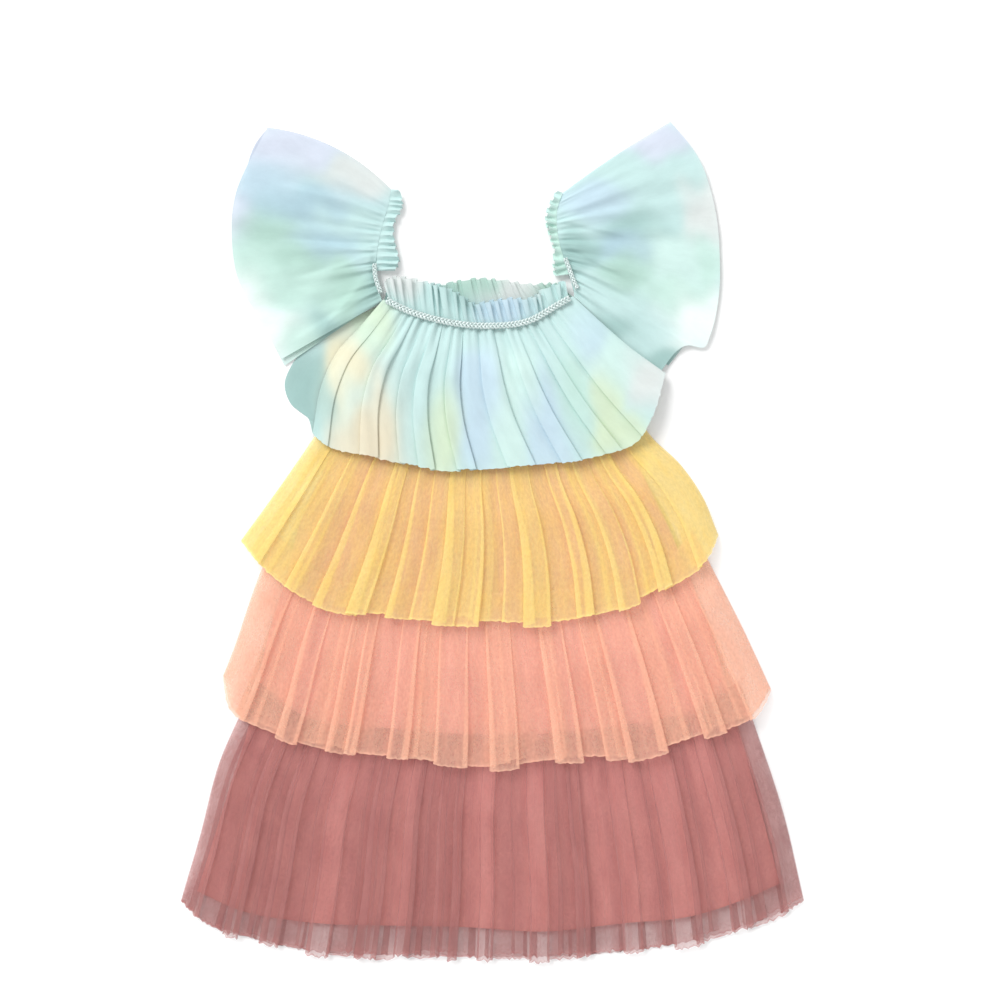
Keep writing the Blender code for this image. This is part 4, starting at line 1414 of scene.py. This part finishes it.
ROSE_TIER = PleatedTier(
    name="rose",
    shape=Outline(
        ((-211, -123), (-173, -152), (-83, -166), (-2, -171), (97, -165), (187, -145),
         (221, -123)),
        ((-280, -321), (-262, -338), (-209, -357), (-151, -368), (-70, -370), (11, -372),
         (83, -370), (155, -362), (209, -350), (263, -330), (280, -321)),
        left=((-211, -123), (-227, -155), (-243, -190), (-264, -267), (-280, -321)),
        right=((221, -123), (234, -159), (261, -240), (280, -321)),
    ),
    folds=(
        Fold(-263, 1, 0, 7), Fold(-243, -1, 3, 9), Fold(-227, 1, -1, 8), Fold(-211, -1, 1, 10),
        Fold(-191, 1, -1, 9), Fold(-169, -1, 3, 6), Fold(-146, 1, 1, 5), Fold(-126, -1, 2, 12),
        Fold(-103, 1, 4, 8), Fold(-90, -1, -1, 3), Fold(-74, 1, 2, 9), Fold(-58, -1, 0, 8),
        Fold(-42, -1, 3, 9), Fold(-31, 1, 0, 6), Fold(-15, -1, 2, 3), Fold(1, 1, 1, 4),
        Fold(32, -1, 4, 4), Fold(52, 1, 2, 4), Fold(74, -1, 0, 11), Fold(90, 1, -2, 8),
        Fold(117, -1, 1, 4), Fold(137, 1, -1, 4), Fold(162, -1, 4, 5), Fold(191, 1, 2, 10),
        Fold(214, -1, 0, 5), Fold(236, 1, 3, 10), Fold(261, -1, 0, 7),
    ),
    slot="rose_tulle",
    back_cover=0.7,
    drawn_aside=((-170, -148), (-104, -88), (-32, 0), (28, 52), (92, 108), (120, 148), (160, 188),
                 (204, 226)),
    seed=4,
    cut=Cut(690.0, 215.0),
    above=PEACH_HEM,
    foot=LINING_HEM,
    rows=56,
    ragged=1.6,
)

LEFT_FRONT_SPOKES = (
    Spoke((-99, 217), (-189, 166)), Spoke((-103, 232), (-209, 201)),
    Spoke((-105, 245), (-229, 240)), Spoke((-104, 259), (-234, 276)),
    Spoke((-101, 277), (-231, 312)), Spoke((-97, 292), (-221, 338)),
    Spoke((-93, 306), (-211, 357)), Spoke((-91, 318), (-202, 374)),
)
RIGHT_FRONT_SPOKES = (
    Spoke((73, 220), (147, 150)), Spoke((73, 229), (175, 178)),
    Spoke((71, 236), (191, 177)), Spoke((69, 242), (195, 186)),
    Spoke((65, 254), (203, 221)), Spoke((60, 271), (204, 256)),
    Spoke((58, 284), (200, 300)), Spoke((58, 298), (184, 348)),
    Spoke((63, 315), (160, 379)),
)
SLEEVES = (
    Sleeve(
        side="left",
        bow=11.0,
        front=LEFT_FRONT_SPOKES,
        back=(
            Spoke((-92, 310), (-213, 360)), Spoke((-95, 296), (-223, 328)),
            Spoke((-101, 272), (-229, 275)), Spoke((-104, 245), (-215, 222)),
            Spoke((-103, 230), (-200, 186)), Spoke((-100, 219), (-187, 160)),
        ),
        creases=(
            Crease(-106, 262, -196, 272, 1.5, 12.0, 3.0),
            Crease(-108, 256, -176, 236, 1.4, 10.0, 3.0),
            Crease(-108, 244, -160, 180, 1.2, 11.0, 4.0),
            Crease(-100, 300, -206, 324, 1.2, 12.0, 4.0),
            Crease(-104, 226, -186, 176, 1.0, 9.0, 3.0),
        ),
        blooms=LEFT_SLEEVE_BLOOMS,
        seed=31,
        cut=Cut(270.0, 180.0),
    ),
    Sleeve(
        side="right",
        bow=2.0,
        front=RIGHT_FRONT_SPOKES,
        back=(
            Spoke((59, 304), (178, 356)), Spoke((58, 292), (191, 322)),
            Spoke((60, 272), (196, 268)), Spoke((67, 248), (190, 220)),
            Spoke((71, 234), (176, 184)), Spoke((74, 223), (158, 160)),
        ),
        creases=(
            Crease(66, 290, 124, 276, 1.4, 9.0, 3.0),
            Crease(68, 268, 128, 236, 1.6, 10.0, 3.0),
            Crease(72, 250, 132, 220, 1.4, 9.0, 3.0),
            Crease(76, 236, 136, 186, 1.2, 10.0, 4.0),
            Crease(66, 298, 150, 330, 1.0, 14.0, 5.0),
        ),
        blooms=RIGHT_SLEEVE_BLOOMS,
        seed=41,
        cut=Cut(270.0, 180.0),
    ),
)

FRILL_BLOOMS = (
    Bloom(-80, 240, 12, 14, Dye.PEARL), Bloom(-50, 215, 20, 14, Dye.AQUA),
    Bloom(-20, 225, 14, 10, Dye.TEAL_DYE_AND_SHADE), Bloom(10, 215, 20, 12, Dye.ICE),
    Bloom(25, 232, 14, 8, Dye.PEARL), Bloom(50, 222, 16, 12, Dye.AQUA),
)
BACK_FRILL_BLOOMS = (
    Bloom(-70, 225, 20, 14, Dye.TEAL_DYE_AND_SHADE), Bloom(-15, 236, 22, 10, Dye.SAGE),
    Bloom(20, 228, 20, 12, Dye.PEARL), Bloom(50, 230, 14, 12, Dye.SAGE),
)
FRILLS = (
    Frill(
        name="neck_frill_back_voile",
        seam=AQUA_BACK_SEAM,
        edge=((-94, 232), (-76, 235), (-47, 234), (-20, 239), (7, 238), (34, 234), (57, 235)),
        waves=15, seam_height=1.4, edge_height=2.3, seam_wave=0.5, edge_wave=1.5,
        cut=Cut(190.0, 22.0), stands_for="neck_frill_back", rests_on=(), seed=51, lean=1.4,
        blooms=BACK_FRILL_BLOOMS,
    ),
    Frill(
        name="neck_frill_front_voile",
        seam=((-92, 216), (-79, 210), (-47, 200), (-4, 195), (34, 200), (57, 213), (68, 220)),
        edge=((-98, 236), (-90, 240), (-79, 240), (-66, 237), (-46, 232), (-28, 224), (-18, 217),
              (-1, 219), (14, 221), (35, 222), (46, 230), (57, 234), (65, 237)),
        waves=21, seam_height=8.1, edge_height=8.8, seam_wave=1.1, edge_wave=3.0,
        cut=Cut(260.0, 28.0), stands_for="neck_frill_front", rests_on=("neck_frill_back_voile",),
        seed=52, blooms=FRILL_BLOOMS,
    ),
    Frill(
        name="sleeve_frill_left_voile",
        seam=tuple(spoke.gather for spoke in LEFT_FRONT_SPOKES[2:]),
        edge=((-86, 245), (-83, 254), (-86, 267), (-88, 281), (-87, 289), (-80, 302), (-82, 317)),
        waves=11, seam_height=5.2, edge_height=5.6, seam_wave=0.4, edge_wave=3.4,
        cut=Cut(85.0, 15.0), stands_for="sleeve_frill_left", rests_on=("sleeve_left_voile",),
        seed=53, lean=1.5, blooms=(Bloom(-90, 270, 14, 20, Dye.AQUA),),
    ),
    Frill(
        name="sleeve_frill_right_voile",
        seam=tuple(spoke.gather for spoke in RIGHT_FRONT_SPOKES[3:]),
        edge=((55, 240), (54, 248), (54, 264), (50, 278), (47, 293), (50, 304), (57, 317)),
        waves=11, seam_height=5.2, edge_height=5.6, seam_wave=0.4, edge_wave=3.4,
        cut=Cut(85.0, 13.0), stands_for="sleeve_frill_right", rests_on=("sleeve_right_voile",),
        seed=54, lean=1.5, blooms=(Bloom(56, 270, 14, 24, Dye.MINT),),
    ),
)
BRAIDS = (
    Braid(
        "silver_braid_neck",
        ((-95, 218), (-79, 210), (-47, 200), (-4, 195), (34, 200), (57, 213), (69, 220)),
        height=12.6,
        stands_for="neck_braid_front",
    ),
    Braid(
        "silver_braid_left",
        ((-106, 251), (-105, 240), (-102, 230), (-100, 225)),
        height=8.4,
        width=4.6,
        strand=0.8,
        stands_for="sleeve_braid_left",
    ),
    Braid(
        "silver_braid_right",
        ((65, 256), (69, 246), (73, 235), (76, 229)),
        height=8.4,
        width=4.6,
        strand=0.8,
        stands_for="sleeve_braid_right",
    ),
)

YELLOW_TULLE = Tulle("yellow_nylon_tulle", "#FFEA9C", "#FCDF88", mark="#D9B27A", cover=0.42)
PEACH_TULLE = Tulle("peach_nylon_tulle", "#FFCDB0", "#FCC0A4", mark="#DD957F", cover=0.36)
ROSE_TULLE = Tulle("rose_nylon_tulle", "#BF8480", "#B27674", mark="#9C5F62", cover=0.37)


def main() -> None:
    """Builds the studio and the dress, from the floor up."""
    Studio().build()
    voile = Voile().material()
    Lining().build()
    ROSE_TIER.build(ROSE_TULLE.material())
    PEACH_TIER.build(PEACH_TULLE.material())
    YELLOW_TIER.build(YELLOW_TULLE.material())
    AQUA_TIER.build(voile)
    for sleeve in SLEEVES:
        sleeve.build(voile)
    for frill in FRILLS:
        frill.build(voile)
    silver = MetallicBraid().material()
    for braid in BRAIDS:
        braid.build(silver)


if __name__ == "__main__":
    logging.basicConfig(level=logging.INFO, format="%(name)s %(message)s")
    main()
